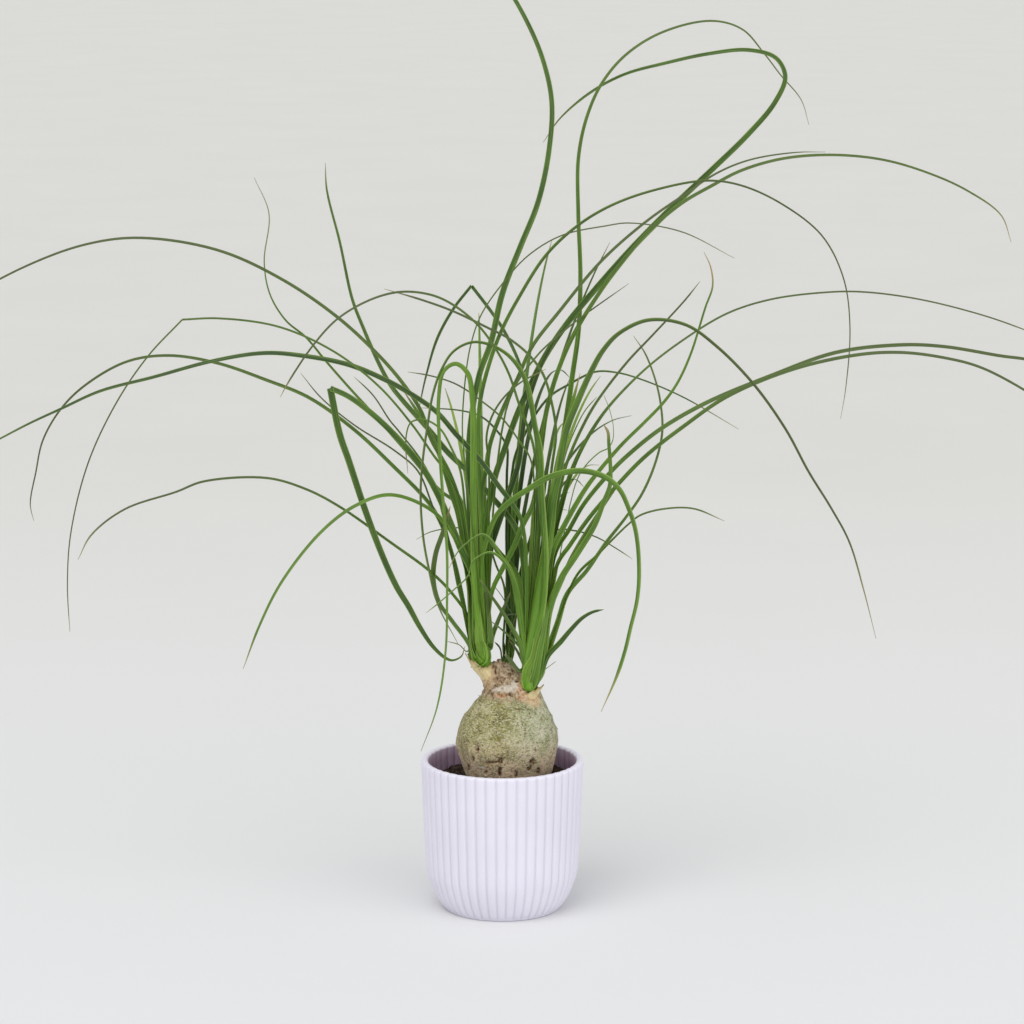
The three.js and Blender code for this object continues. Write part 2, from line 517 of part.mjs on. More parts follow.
// The two points at which a leaf is rooted: deep in the crown's foot, and where it leaves it
function rootPoints(crown, points) {
  const { seat, axis } = crownFrame(crown);
  const heading = points[0].clone().lerp(points[Math.floor(points.length / 3)], 0.5).sub(seat);
  heading.addScaledVector(axis, -heading.dot(axis)).normalize();
  return [
    seat.clone().addScaledVector(axis, 5).addScaledVector(heading, 0.35 * crown.foot),
    seat.clone().addScaledVector(axis, 22).addScaledVector(heading, 0.72 * crown.foot),
  ];
}

// Width at a share of a blade's length, from the widths at its start, low down, half way, near its
// tip and at its end
function widthAt(widths, s) {
  const next = WIDTH_SHARES.findIndex((share) => share >= s);
  if (next === 0) return widths[0];
  const [before, after] = [WIDTH_SHARES[next - 1], WIDTH_SHARES[next]];
  return THREE.MathUtils.lerp(widths[next - 1], widths[next], (s - before) / (after - before));
}

// Blade: three-sided rings along a curve. Its upper face starts on the outer side of the arch, is
// rolled towards the eye, and is then carried along without twist.
function bladeSolid(points, widths, roll, spans) {
  const curve = new THREE.CatmullRomCurve3(points, false, "centripetal");
  const stations = curve.getPoints(spans);
  const tangents = stations.map((_, i) => curve.getTangent(i / spans));
  const bulge = stations[Math.floor(spans / 2)].clone().sub(stations[0].clone().lerp(stations[spans], 0.5));
  const start = tangents[0];
  const outward = bulge.addScaledVector(start, -bulge.dot(start)).normalize();
  const beside = start.clone().cross(outward);
  const turn = THREE.MathUtils.degToRad(roll) * (beside.y < 0 ? 1 : -1);
  let normal = outward.multiplyScalar(Math.cos(turn)).addScaledVector(beside, Math.sin(turn));
  const rings = stations.map((p, i) => {
    const along = tangents[i];
    normal = normal.clone().addScaledVector(along, -normal.dot(along)).normalize();
    const side = along.clone().cross(normal);
    const width = widthAt(widths, i / spans);
    const thickness = BLADE_THICKNESS + THICKNESS_PER_WIDTH * width;
    return [
      p.clone().addScaledVector(side, width / 2).addScaledVector(normal, thickness / 3),
      p.clone().addScaledVector(side, -width / 2).addScaledVector(normal, thickness / 3),
      p.clone().addScaledVector(normal, (-2 * thickness) / 3),
    ];
  });
  const made = solidOf(skin(rings));
  return made.volume() < 0 ? solidOf(skin(rings.map((ring) => [...ring].reverse()))) : made;
}

// A leaf placed by rule: it rises from the crown, leans out along its heading and droops
function fillPoints(crown, fill, random) {
  const { seat } = crownFrame(crown);
  const between = ([low, high]) => low + (high - low) * random();
  const heading = THREE.MathUtils.degToRad(between(fill.heading));
  const rise = between(fill.rise);
  const reach = between(fill.reach);
  const droop = 0.15 + 0.75 * random();
  return [0.22, 0.36, 0.5, 0.64, 0.78, 0.9, 1].map((s) => {
    const out = 5 + reach * s ** 1.7;
    const height = rise * (1.55 * s - droop * s ** 3);
    return new THREE.Vector3(
      seat.x + out * Math.cos(heading),
      seat.y + out * Math.sin(heading),
      seat.z + 14 + height,
    );
  });
}

// Crown: every leaf sunk in one foot that stands on its seat
function crownSolid(crown, leaves, folded, fill) {
  const { seat, axis } = crownFrame(crown);
  const along = (distance) => seat.clone().addScaledVector(axis, distance);
  const foot = skin([
    ringAt(along(GAP), axis, SEAT_SHARE * crown.foot, CROWN_SIDES),
    ringAt(along(SHEATH_RISE), axis, crown.foot, CROWN_SIDES),
    ringAt(along(0.6 * FOOT_HEIGHT), axis, 0.75 * crown.foot, CROWN_SIDES),
    ringAt(along(FOOT_HEIGHT), axis, 2, CROWN_SIDES),
  ]);
  const rooted = (points, widths, roll, spans) =>
    bladeSolid([...rootPoints(crown, points), ...points], [ROOT_SHARE * widths[0], ...widths], roll, spans);
  const spansFor = (points) => Math.round(points.length * SPANS_PER_POINT);
  const blades = leaves.map((leaf) => {
    const points = leafPoints(leaf);
    return rooted(points, [...leaf[1], TIP_WIDTH], leaf[3], spansFor(points));
  });
  const bent = folded.flatMap(({ rising, hanging }) => {
    const [up, down] = [leafPoints(rising), leafPoints(hanging)];
    return [
      rooted(up, [...rising[1], rising[1][2]], rising[3], spansFor(up)),
      bladeSolid(down, [hanging[1][0], ...hanging[1], TIP_WIDTH], hanging[3], spansFor(down)),
    ];
  });
  const random = randomFrom(fill.seed);
  const fillers = Array.from({ length: fill.count }, () => {
    const points = fillPoints(crown, fill, random);
    return rooted(points, FILL_WIDTHS, 0, FILL_SPANS);
  });
  return wasm.Manifold.union([solidOf(foot), ...blades, ...bent, ...fillers]);
}

const POT_PLASTIC = new THREE.MeshStandardMaterial({ color: 0xe2e0ee, roughness: 0.45, metalness: 0 });
const SOIL = new THREE.MeshStandardMaterial({ color: 0x3a2d22, roughness: 1, metalness: 0 });
const BARK = new THREE.MeshStandardMaterial({ color: 0xa09878, roughness: 0.9, metalness: 0 });
const SHEATH = new THREE.MeshStandardMaterial({ color: 0xd8c088, roughness: 0.8, metalness: 0 });
const LEAF = new THREE.MeshStandardMaterial({ color: 0x4a7a30, roughness: 0.5, metalness: 0 });
const DARK_LEAF = new THREE.MeshStandardMaterial({ color: 0x35602a, roughness: 0.5, metalness: 0 });

const group = new THREE.Group();
group.name = "potted_ponytail_palm";
addMesh("pot", potSolid(), POT_PLASTIC);
addMesh("soil", soilSolid(), SOIL);
addMesh("trunk", trunkSolid(), BARK);
addMesh("leaf_sheath_left", sheathSolid(CROWNS.left), SHEATH);
addMesh("leaf_sheath_right", sheathSolid(CROWNS.right), SHEATH);
addMesh("leaf_sheath_back", sheathSolid(CROWNS.back), SHEATH);
addMesh("leaf_crown_left", crownSolid(CROWNS.left, LEFT_LEAVES, LEFT_FOLDED, FILL.left), LEAF);
addMesh("leaf_crown_right", crownSolid(CROWNS.right, RIGHT_LEAVES, RIGHT_FOLDED, FILL.right), LEAF);
addMesh("leaf_crown_back", crownSolid(CROWNS.back, BACK_LEAVES, [], FILL.back), DARK_LEAF);

export default group;
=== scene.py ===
# Looks of a potted ponytail palm, in metres: +Z up, the front towards -Y, the pot's foot at the origin.
import math

import bpy
import numpy as np
from mathutils import Matrix, Vector, noise


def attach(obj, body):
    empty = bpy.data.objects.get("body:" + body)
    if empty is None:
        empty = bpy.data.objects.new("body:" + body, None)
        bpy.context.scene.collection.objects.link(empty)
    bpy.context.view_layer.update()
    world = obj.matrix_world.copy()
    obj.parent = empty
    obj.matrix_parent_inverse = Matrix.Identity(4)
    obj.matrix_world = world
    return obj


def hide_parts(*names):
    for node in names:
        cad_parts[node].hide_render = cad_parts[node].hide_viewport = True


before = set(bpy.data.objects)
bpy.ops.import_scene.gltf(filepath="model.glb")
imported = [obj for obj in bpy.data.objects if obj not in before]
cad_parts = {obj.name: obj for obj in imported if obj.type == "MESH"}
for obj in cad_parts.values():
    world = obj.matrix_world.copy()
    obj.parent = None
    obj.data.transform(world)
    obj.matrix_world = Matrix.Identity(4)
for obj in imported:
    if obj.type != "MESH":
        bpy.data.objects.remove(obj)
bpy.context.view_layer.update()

MM = 0.001
UP = Vector((0, 0, 1))

# Camera: the leaf points below are written as they look from here
EYE = Vector((8.4, -3008.3, 913.5)) * MM
PITCH_DOWN = 10.67
LENS = 126.56
SENSOR = 36
VIEW_DEPTH = 100
FLOOR_REACH = 45
SURROUND = 0.68

# Pot, in millimetres: radius and height of its outside, from the foot to the rim
POT_HEIGHT = 130
POT_OUTSIDE = [[50, 0], [54, 4.7], [59.2, 13.6], [62.5, 22.5], [65.7, 34], [70, 130]]
POT_FLOOR = 6
RIB_COUNT = 48
RIB_DEPTH = 1.5
RIB_PHASE = 3.0
SIDES_PER_RIB = 12
GROOVE_WIDTH = 0.5
GROOVE_SHARE = 0.75
CREST_SHARE = 0.3

# Rings of the pot's skin: radius, height, share of the grooves' depth (below 0 they widen the ring)
# and how far the ring is inside, where painted shade darkens the plastic. Between foot and rim the
# rings follow the outside above.
POT_FOOT_RINGS = [
    [2, 0.4, 0, 0], [20, 0.4, 0, 0], [44, 0, 0, 0], [48.6, 0, 0.25, 0], [50.6, 0.3, 0.3, 0],
    [51.2, 1.4, 0.3, 0], [51.4, 2.2, 0.5, 0],
]
POT_WALL_HEIGHTS = [3.2, 4.7, 7, 10, 13.6, 18, 22.5, 28, 34, 44, 60, 80, 100, 118, 125, 128]
POT_RIM_RINGS = [
    [69.7, 129.4, 0.85, 0], [69, 130.2, 0.55, 0], [68, 130.55, 0.25, 0], [66.2, 130.6, -0.3, 0],
    [64.9, 130.4, -0.8, 0], [64.1, 129.8, -1, 0.1],
]
POT_INNER_RINGS = [
    [63.5, 128.6, -0.9, 0.85], [63.2, 120, -0.9, 1], [62.8, 100, -0.9, 1], [62, 70, -0.9, 1],
    [59.5, 34, -0.9, 1], [52.5, 14, -0.9, 1], [48, POT_FLOOR, -0.9, 1], [20, POT_FLOOR, 0, 1],
]

# Soil, in millimetres: its lumps as height, fineness and layer of the noise, and the radius and
# height of the rings below its top
SOIL_TOP = 113
SOIL_RADIUS = 60
SOIL_SIDES = 160
SOIL_RINGS = [2, 12, 24, 30, *range(34, SOIL_RADIUS + 1, 2)]
SOIL_LUMPS = [[2.2, 0.09, 0], [1.3, 0.3, 1], [0.5, 0.9, 0]]
SOIL_SIDE_RINGS = [[SOIL_RADIUS, 100], [57, 34], [51, 16], [46, POT_FLOOR + 0.3], [2, POT_FLOOR + 0.3]]
CRUMB_COUNT = 420
CRUMB_SEED = 77
CRUMB_SIDES = 6
CRUMB_TILTS = (-0.9, 0, 0.9)
CRUMB_LIFT = 0.7
SMALLEST_CRUMB = 0.5
CRUMB_RANGE = 1.6
# The bulb at the soil: its radius, and how far right of the pot's axis its middle is
BULB_AT_SOIL = 38
BULB_MIDDLE = 5

# Swollen trunk, in millimetres: height, radius, middle across and middle in depth of each ring
TRUNK_RINGS = [
    [100, 33, 5, 0], [110, 36, 5, 0], [117, 36.8, 5, 0], [123, 38.8, 5, 0], [134, 41.8, 4.5, 0],
    [145, 43.8, 4, 0], [155, 42.9, 4.5, 0], [168, 38.6, 5, 0], [179.5, 31, 6.5, 0], [187, 25.5, 8, 0],
    [193, 23, 7.5, 0], [201, 20, 4, 1], [208, 14, 0, 2], [214, 6, -1, 2],
]
TRUNK_STEPS = 60
TRUNK_SIDES = 96
SKIN_GRAIN = 0.9
SOFTENING = 0.6
SOFTENING_ROUNDS = 5
# Heights between which the bulb's skin turns into the neck's
NECK = (184, 192)
# Depths between which the marks on the trunk's front fade out
FRONT = (-8, 0)
# Old sheathing round each stub: distances from its axis at which it fades out, and heights over the
# seat at which it fades in
SHEATHING_REACH = (9, 15)
SHEATHING_HEIGHT = (-19, -12)

# Marks on the trunk's front, in millimetres as seen: across, up, half width, half height, and for a
# crack its depth
CRACKS = [
    [-2, 128.5, 3.2, 4.2, 2.4], [-2, 119, 2, 6.5, 1.8], [-10, 127, 7, 1.2, 0.9], [26, 126.5, 3.4, 5.5, 1.8],
    [23, 121, 2.6, 2.6, 1.4], [-21, 141, 2, 4.5, 1.2], [-25, 130, 1.6, 3, 1.0], [12, 117, 2, 3.4, 0.9],
    [-29, 122, 1.4, 4, 0.8], [32, 119, 2, 4, 1.0], [-14, 118, 1.6, 2, 0.8], [-6, 209, 1.3, 5, 1.6],
    [-12, 202.5, 1.2, 4, 1.2], [-4, 218, 2.4, 3, 1.6], [5, 212, 6, 1.2, 1.4], [13.5, 199, 2.8, 2, 1.4],
    [-1, 203, 1, 2.6, 0.8], [6, 205.5, 2.4, 0.9, 0.8], [-15, 208, 1.2, 3, 0.8], [9, 208, 0.9, 2, 0.6],
]
SCARS = [[-3, 192, 6, 2.6], [5, 192.5, 9, 4.2], [11, 196, 4, 5], [18, 132, 2.6, 2], [-18, 123, 3.6, 1.4]]
RUST = [[14.5, 193, 4, 8], [17, 184.5, 5, 4], [-2, 186, 7, 2.4]]
# Dark flakes that stand out from the bulb's sides: from, to. The stain is how dark the skin is at a
# flake's tip, and the distance from it over which that falls by 1.
FLAKES = [
    [[-17, -2, 185], [-21.5, -3, 188]], [[40, 2, 168], [44.5, 2, 169]], [[45, 2, 157], [49.5, 2, 157]],
]
FLAKE_RADII = {0: 1.3, 0.5: 1.05, 1: 0.8}
FLAKE_SIDES = 8
FLAKE_STAIN = 1.6
FLAKE_STAIN_FALL = 2.2
# Lumps of old fibre on the neck: middle across and in depth, height of its base, radius, rise
FIBRE_LUMPS = [
    [-3, -4, 203, 5.5, 17], [4, -6, 201, 5, 11], [10, -4, 199, 5, 11], [-6, 6, 206, 5, 9],
    [12, 6, 198, 6, 10], [14, -14.5, 190, 4.2, 9],
]
FIBRE_LUMP_DEPTH = 6
FIBRE_LUMP_SIDES = 20
# A lump's radius as a share of its widest, at shares of its length
FIBRE_LUMP_TAPER = {0: 1, 0.45: 0.9, 0.8: 0.6, 1: 0.2}

# The trunk carries three crowns of leaves, each on a stub: the stub's start inside the neck, the
# seat on top of it, the way the crown leans, the radius of its foot where that is widest, and the
# share of that foot to which it is drawn in at the seat
CROWNS = {
    "left": {
        "start": [-4, 0, 188], "seat": [-17, -5, 212], "lean": [-0.14, -0.06, 1],
        "foot": 9.3, "draw_in": 1,
    },
    "right": {
        "start": [17, -7, 168], "seat": [22.4, -12, 191], "lean": [0.2, -0.1, 1],
        "foot": 9, "draw_in": 0.4,
    },
    "back": {
        "start": [4, 9, 183], "seat": [4, 17, 205], "lean": [0.02, 0.2, 1],
        "foot": 5.4, "draw_in": 1,
    },
}
# The stub's radius at its seat and at its waist, as shares of the foot's
SEAT_SHARE = 0.74
WAIST_SHARE = 0.54
STUB_RISE = 2
SHEATH_DEPTH = 9
SHEATH_RISE = 7
FOOT_RISE = 13
FOOT_SIDES = 72
# Rings of a crown's foot above its lowest: shares of its rise and of its radius
FOOT_RINGS = [(0.4, 0.8), (0.75, 0.6), (1, 0.2)]
# What the leaf material reads there
FOOT_LOOK = {"along": 0.04, "across": 0.0, "tint": 0.4, "dry": 0.3}
STUB_SIDES = 32

# Dry leaf bases: how many overlap round a foot, and for each crown the heading of the tallest, its
# height over the seat and the height of the lowest
SCALES = 14
SHEATH_TOPS = {"left": [180, 15, 4], "right": [-20, 11, 2], "back": [60, 6, 3]}
SHEATH_SEED = 40
SCALE_STEPS = 10
SCALE_HALF_STEPS = 4
SCALE_THICKNESS = 0.45
# Radius of the sheath as a share of the foot's, at heights over the seat
SHEATH_HEIGHTS = [-SHEATH_DEPTH, 0, SHEATH_RISE, 15]
SHEATH_SHARES = [WAIST_SHARE, SEAT_SHARE, 1, 1.25]

# Each leaf, in millimetres: name, [width low down, half way, near the tip], [depth at its first
# point, half way, at its tip], roll of the upper face towards the eye in degrees, how light it is
# from 0 for the darkest green to 1 (None is drawn at random; low values partly paint the shade on
# leaves that lie in shadow), and points from the root end, across and up in the upright plane
# through the pot's axis
LEFT_LEAVES = [
    ["front loop", [8.5, 3.6, 1.6], [-14, -55, -110], 10, 0.5,
     [[-21, 262], [-23, 300], [-24, 350], [-24, 400], [-25, 445], [-29, 466], [-39, 474], [-49, 468],
      [-53.5, 445], [-53, 405], [-50, 355], [-47, 313], [-47, 275], [-48.5, 225], [-56, 176], [-70, 137]]],
    ["top left arch", [4.5, 3.5, 2], [-5, 15, 40], 50, 0.3,
     [[-28, 300], [-35, 350], [-45, 380.5], [-60.5, 410], [-69, 434], [-84.5, 458], [-105, 482],
      [-138, 513], [-184, 545], [-238, 570], [-303.5, 580.5], [-349, 575], [-400, 556.5], [-452, 528],
      [-500, 490]]],
    ["middle left arch", [3.8, 2.9, 1.4], [-2, 45, 85], 80, 0.3,
     [[-40, 300], [-52, 337], [-63, 355.5], [-93, 387], [-125, 417.5], [-163, 445], [-200, 460.5],
      [-240, 474.5], [-281, 481], [-316, 476], [-351, 456.5], [-373, 435.5], [-389, 408.5],
      [-395.5, 381.5], [-401, 353.5], [-398.5, 339]]],
    ["short thin leaf", [2.4, 2, 1.2], [-10, -25, -40], 50, 0.3,
     [[-33.5, 263], [-38, 282], [-46, 320], [-58.5, 350], [-71.5, 382], [-91, 399.5], [-125, 421.5],
      [-153, 445], [-170, 466]]],
    ["short thin leaf above", [2.4, 1.8, 1.2], [-8, -20, -25], 50, 0.3,
     [[-60, 375], [-86.5, 415], [-95, 425.5], [-109, 447], [-125, 463]]],
    ["low waved arch", [4, 2.8, 1.6], [-8, -70, -140], 50, 0.3,
     [[-28.5, 253], [-43.5, 276.5], [-61.5, 295], [-95.5, 320.5], [-138, 351], [-167, 366.5],
      [-200, 376], [-253.5, 373], [-277, 364], [-321, 349], [-350, 326.5], [-361.5, 305.5]]],
    ["low front arch", [7, 3.4, 2], [-14, -75, -135], 55, 0.4,
     [[-30, 290], [-43, 328], [-61.5, 349], [-95.5, 361.5], [-125, 352], [-154.5, 329], [-188.5, 285.5],
      [-208, 247], [-222, 210]]],
    ["leaf curled in", [7, 6, 4], [-8, -25, -35], 50, 0.35,
     [[-43, 253], [-54, 269], [-58.5, 288], [-56.5, 310], [-50, 330], [-44, 352]]],
    ["thin drooping leaf", [2.4, 2, 1.2], [-12, -30, -50], -40, 0.4,
     [[-25, 300], [-31, 346], [-35.5, 382.5], [-43, 402], [-53, 419], [-65.5, 426], [-77, 424],
      [-81.5, 410], [-80, 380]]],
    ["long thread to the right", [2.2, 1.6, 1.2], [-32, -38, -60], 50, 0.3,
     [[-31.5, 390], [-33.5, 420], [-30.5, 464.5], [-26, 491], [-17.5, 515.5], [0.5, 542], [22.5, 566],
      [50, 582.5], [86.5, 590.5], [107, 593], [151, 585.5], [195, 563.5]]],
    ["tallest leaf", [4.6, 5.2, 3.4], [-5, 30, 90], 50, 0.2,
     [[-23, 270], [-28, 350], [-28.5, 398], [-26, 428], [-19, 465.5], [-9.5, 492], [0.5, 534.5],
      [15.5, 573.5], [30, 610], [39, 652], [41.5, 693.5], [34.5, 727.5], [21, 760], [0, 795],
      [-22, 820], [-42, 835]]],
    ["long right arch", [4, 2.5, 1.1], [-10, -50, -120], -60, 0.3,
     [[-20, 420], [-17.5, 447.5], [-8.5, 481], [0, 503], [13.5, 529], [37, 566], [63, 590.5], [92, 608],
      [129, 621], [171, 628.5], [200, 624.5], [235, 608.5], [268.5, 582], [287, 546], [293, 505],
      [290.5, 454.5], [286.5, 427]]],
    ["high right leaf", [4.5, 3.5, 1.5], [-4, 15, 55], 50, 0.3,
     [[-17.5, 363], [-13, 385], [-10, 405], [0.5, 434.5], [13, 461], [25.5, 488.5], [48, 518], [83, 560.5],
      [118, 592], [150, 615], [180, 635], [207.5, 646], [244.5, 652], [270, 652.5]]],
    ["looped tall leaf", [5.5, 5.5, 2.2], [-4, 40, 75], 70, 0.2,
     [[-14.5, 333.5], [-10.5, 357], [-5.5, 379.5], [1.5, 400], [13, 432], [24.5, 457.5], [37, 482],
      [52.5, 505.5], [70, 527.5], [107, 570], [144, 608], [176.5, 639], [204.5, 666.5], [227, 693.5],
      [235.5, 715], [227.5, 730.5], [205, 737], [172, 734], [135, 726], [102, 717], [74.5, 702.5],
      [48.5, 680.5], [34.5, 660.5]]],
    ["longest right arch", [6, 4, 1.6], [-10, 8, -40], 65, 0.35,
     [[-8, 277], [0.5, 296.5], [10.5, 317], [18, 335.5], [26.5, 353.5], [34, 407], [37.5, 432], [44, 457.5],
      [52, 480], [61.5, 500.5], [76, 525], [94, 551], [125, 588], [151, 610], [175, 624], [200, 637],
      [235, 647], [275.5, 650], [318, 646], [356, 635], [389.5, 620], [418, 599.5], [427, 577]]],
    ["thin leaf in the fan", [2, 1.8, 1.2], [-5, 5, 20], 50, 0.3,
     [[5, 440], [28.5, 479.5], [53.5, 503], [71.5, 517], [106.5, 542]]],
    ["small leaf in the fan", [3, 2.4, 1.4], [-8, -15, -25], 50, 0.35,
     [[-11, 386], [-13, 412], [-8.5, 429], [1, 444.5], [15, 457.5], [37, 469.5]]],
    ["arch over the right crown", [3.4, 5.6, 5], [-16, -90, -160], 0, 0.4,
     [[-18, 300], [-14, 320], [-5, 343.5], [6.5, 355.5], [22.5, 366.5], [43, 378], [68, 382], [88.5, 376],
      [99.5, 366], [107, 350.5], [113.5, 329.5], [116.5, 296.5], [115, 270.5], [109.5, 246], [105, 226],
      [97.5, 202], [85, 172]]],
    ["broad leaf at the left", [6, 5.5, 2.4], [-4, 12, 28], 50, 0.4,
     [[-30, 300], [-37, 345], [-44, 367], [-51, 390], [-61, 415], [-71, 432], [-84, 452]]],
    ["dark broad leaf", [8, 6.5, 3], [0, 8, 10], 70, 0.05,
     [[-10.5, 312], [-5, 331], [6, 363], [14, 388], [20, 432], [33, 472], [52, 508]]],
]

RIGHT_LEAVES = [
    ["outer loop", [9, 5, 4.4], [-18, -50, -75], -10, 0.35,
     [[33, 260], [36, 308.5], [33, 358.5], [31.5, 400], [27.5, 420], [19.5, 459.5], [7, 479],
      [-9.5, 489.5], [-25, 492], [-40.5, 484.5], [-51.5, 467.5], [-58.5, 446.5], [-63, 420], [-67, 391.5],
      [-69, 362], [-67, 325.5], [-62.5, 298.5], [-54.5, 265.5], [-38, 232]]],
    ["dark leaf to the wall side", [5, 5, 2], [4, 60, 102], 50, 0.2,
     [[14.5, 325.5], [4.5, 343.5], [-10, 361], [-19, 371], [-27.5, 380.5], [-45, 397], [-61.5, 417],
      [-83.5, 442], [-94, 455.5], [-105, 476.5], [-117.5, 506], [-126, 529], [-136, 577], [-146.5, 621],
      [-147.5, 643.5]]],
    ["long dark left arch", [5, 5, 1.4], [-24, -14, -40], 70, 0.05,
     [[16.5, 337], [5, 358], [-3.5, 369.5], [-18.5, 391], [-38.7, 413], [-56, 433], [-79.5, 449.5],
      [-100.5, 461], [-129.5, 473], [-167, 480.5], [-200, 483], [-243, 476.5], [-294.5, 462.5],
      [-340, 450.5], [-373, 435.5], [-399, 423.5], [-426, 409.5], [-465, 389], [-500, 370]]],
    ["thin left arch", [3.4, 2.4, 1.6], [-16, -60, -95], 50, 0.3,
     [[31, 350], [27, 400], [22.5, 417], [14, 440], [6, 464.5], [-4.5, 485], [-20.5, 507], [-42, 524.5],
      [-60, 532.5], [-84.5, 535], [-109, 529], [-138, 512.5], [-159, 490], [-180, 459], [-187.5, 445.5]]],
    ["thin left leaf", [3, 2.6, 2], [-14, -20, -35], 50, 0.3,
     [[42, 385], [45.5, 415], [42, 440], [34.5, 465], [22.5, 481.5], [5.5, 495.5], [-11, 504],
      [-41, 518.5], [-67, 528], [-99, 537.5]]],
    ["long upper left leaf", [5, 3.5, 1.4], [0, 54, 100], 50, 0.4,
     [[13, 292], [-2.5, 313], [-20, 335], [-37, 354], [-53, 366], [-80, 398], [-109.5, 432], [-127.5, 452],
      [-149, 477], [-165, 496.5], [-182, 511], [-195, 533], [-199.5, 560.5], [-195, 601], [-207, 631]]],
    ["low thread to the left", [2, 1.6, 1.2], [-15, -24, -28], 50, 0.3,
     [[25.5, 387], [13, 410], [-1.5, 429], [-18.5, 443], [-28.5, 450.5], [-42, 458], [-61.5, 464],
      [-79.5, 467]]],
    ["tall arch", [6.2, 3.4, 1.1], [-6, 48, 80], 50, 0.35,
     [[33, 300], [40, 340], [47, 380], [55, 430], [59.5, 463.5], [64.5, 501.5], [66, 550], [64, 601],
      [64, 648], [71, 682], [83.5, 710], [103.5, 733.5], [134, 752], [174, 761], [199.5, 754],
      [217.5, 734.5], [232, 716], [249, 696], [256, 675]]],
    ["great right arch", [9, 4, 1.8], [-20, -75, -145], 0, 0.3,
     [[39.5, 325.5], [43.5, 358.5], [48, 380], [54, 415], [64, 441.5], [75, 466.5], [85.5, 485.5],
      [99, 500], [123.5, 511], [154.5, 507], [180.5, 489], [212, 457], [240, 418], [260, 381.5],
      [280, 349.5], [295.5, 321], [308.5, 279.5], [320, 236.5]]],
    ["thin right leaf", [3, 2.6, 1.4], [-14, -5, 10], 50, 0.3,
     [[50, 370], [56, 392], [70.5, 425], [82, 444.5], [106, 476], [126, 497.5], [153, 527], [166.5, 544]]],
    ["upper right arch", [6.4, 2, 1.3], [-8, 30, 75], 50, 0.3,
     [[43, 320], [50, 350], [57, 375.5], [65, 396], [79, 421.5], [92.5, 440], [120.5, 469], [151, 493],
      [189, 516.5], [225.5, 528.5], [271, 534.5], [302.5, 535], [349.5, 529], [402, 516], [438.5, 503.5],
      [500, 478]]],
    ["leaf turned up", [5.8, 3.1, 1.2], [-16, -35, -45], 50, 0.41,
     [[42.5, 312], [50, 329.5], [60, 348.5], [71.5, 368], [82, 382], [101.5, 405], [120.5, 424],
      [136.5, 441], [148, 457.5], [159, 482], [171, 521.5], [177, 540], [175, 556.5], [169.5, 568.5]]],
    ["right arch", [4.2, 3.8, 2.6], [-14, -10, 20], 50, 0.33,
     [[45.5, 310.5], [57, 331], [70, 354], [93, 382], [111, 399.5], [135.5, 419], [172.5, 440.5],
      [226.5, 463.5], [281.5, 483.5], [336.5, 490], [373, 488.5], [421.5, 480.5], [441, 478], [480, 470],
      [520, 458]]],
    ["right arch below", [5, 4, 2], [-18, -55, -105], 50, 0.3,
     [[47, 300], [58.5, 318.5], [73.5, 340.5], [96, 367.5], [121, 394], [154, 420.5], [190.5, 446],
      [245, 469], [300, 481.5], [336.5, 483.5], [373, 479], [403.5, 471], [440.5, 452], [472, 431],
      [500, 405]]],
    ["leaf curved upright", [6.5, 2.8, 1.6], [-10, 0, 20], 50, 0.35,
     [[47, 250], [55.5, 276], [72, 296], [88.5, 320.5], [105, 342], [118.5, 362], [129.5, 388],
      [135.5, 415], [134, 440], [129, 461.5], [120.5, 483], [110.5, 498]]],
    ["leaf with a dry tip", [7, 4.4, 2.4], [-18, -40, -55], -50, 0.4,
     [[40, 260], [51, 290], [63.5, 309.5], [78.5, 334.5], [86.5, 355.5], [91.5, 369.5], [92, 383.5],
      [90.5, 405], [89.5, 416], [85.5, 422.5]]],
    ["low right leaf", [4.5, 3, 1.6], [-16, -50, -85], 50, 0.35,
     [[63, 290], [80, 308], [92, 320.5], [107, 335.5], [118, 344], [139, 349.5], [163, 349.5], [189, 339]]],
    ["leaf under the right arch", [6, 5, 2.4], [-12, -4, 6], 50, 0.4,
     [[36, 248], [43, 269], [51, 288], [61, 310], [74, 333], [90, 358], [104, 379]]],
    ["small low leaf", [4.5, 4.5, 2.4], [-18, -30, -42], -70, 0.15,
     [[39, 221], [50, 233.5], [59, 244.5], [68, 254], [77, 259.5], [87, 262]]],
    ["short bent leaf", [2.2, 2, 1.4], [-14, -25, -40], -60, 0.4,
     [[62, 370], [69.5, 385], [82.5, 398], [89.5, 401.5], [93.5, 408], [94, 420], [91, 434], [86, 447]]],
    ["front leaf to the left", [5, 4, 2], [-20, -45, -70], -50, 0.42,
     [[12, 275], [6.5, 296.5], [-2, 309], [-11.5, 324], [-18, 327], [-25.5, 323], [-37, 313],
      [-45.5, 298]]],
    ["front thread to the left", [3.5, 2.4, 1.4], [-20, -50, -80], -50, 0.42,
     [[15, 270], [2.5, 302], [-7.5, 311], [-14, 311], [-25.5, 303], [-28.5, 292], [-43, 277.5],
      [-55.5, 266.5], [-65, 259]]],
    ["short leaf to the left", [5, 4, 2], [-18, -26, -36], -60, 0.35,
     [[14.5, 233.5], [7, 248], [-3, 264.5], [-12.5, 278], [-19, 288]]],
]

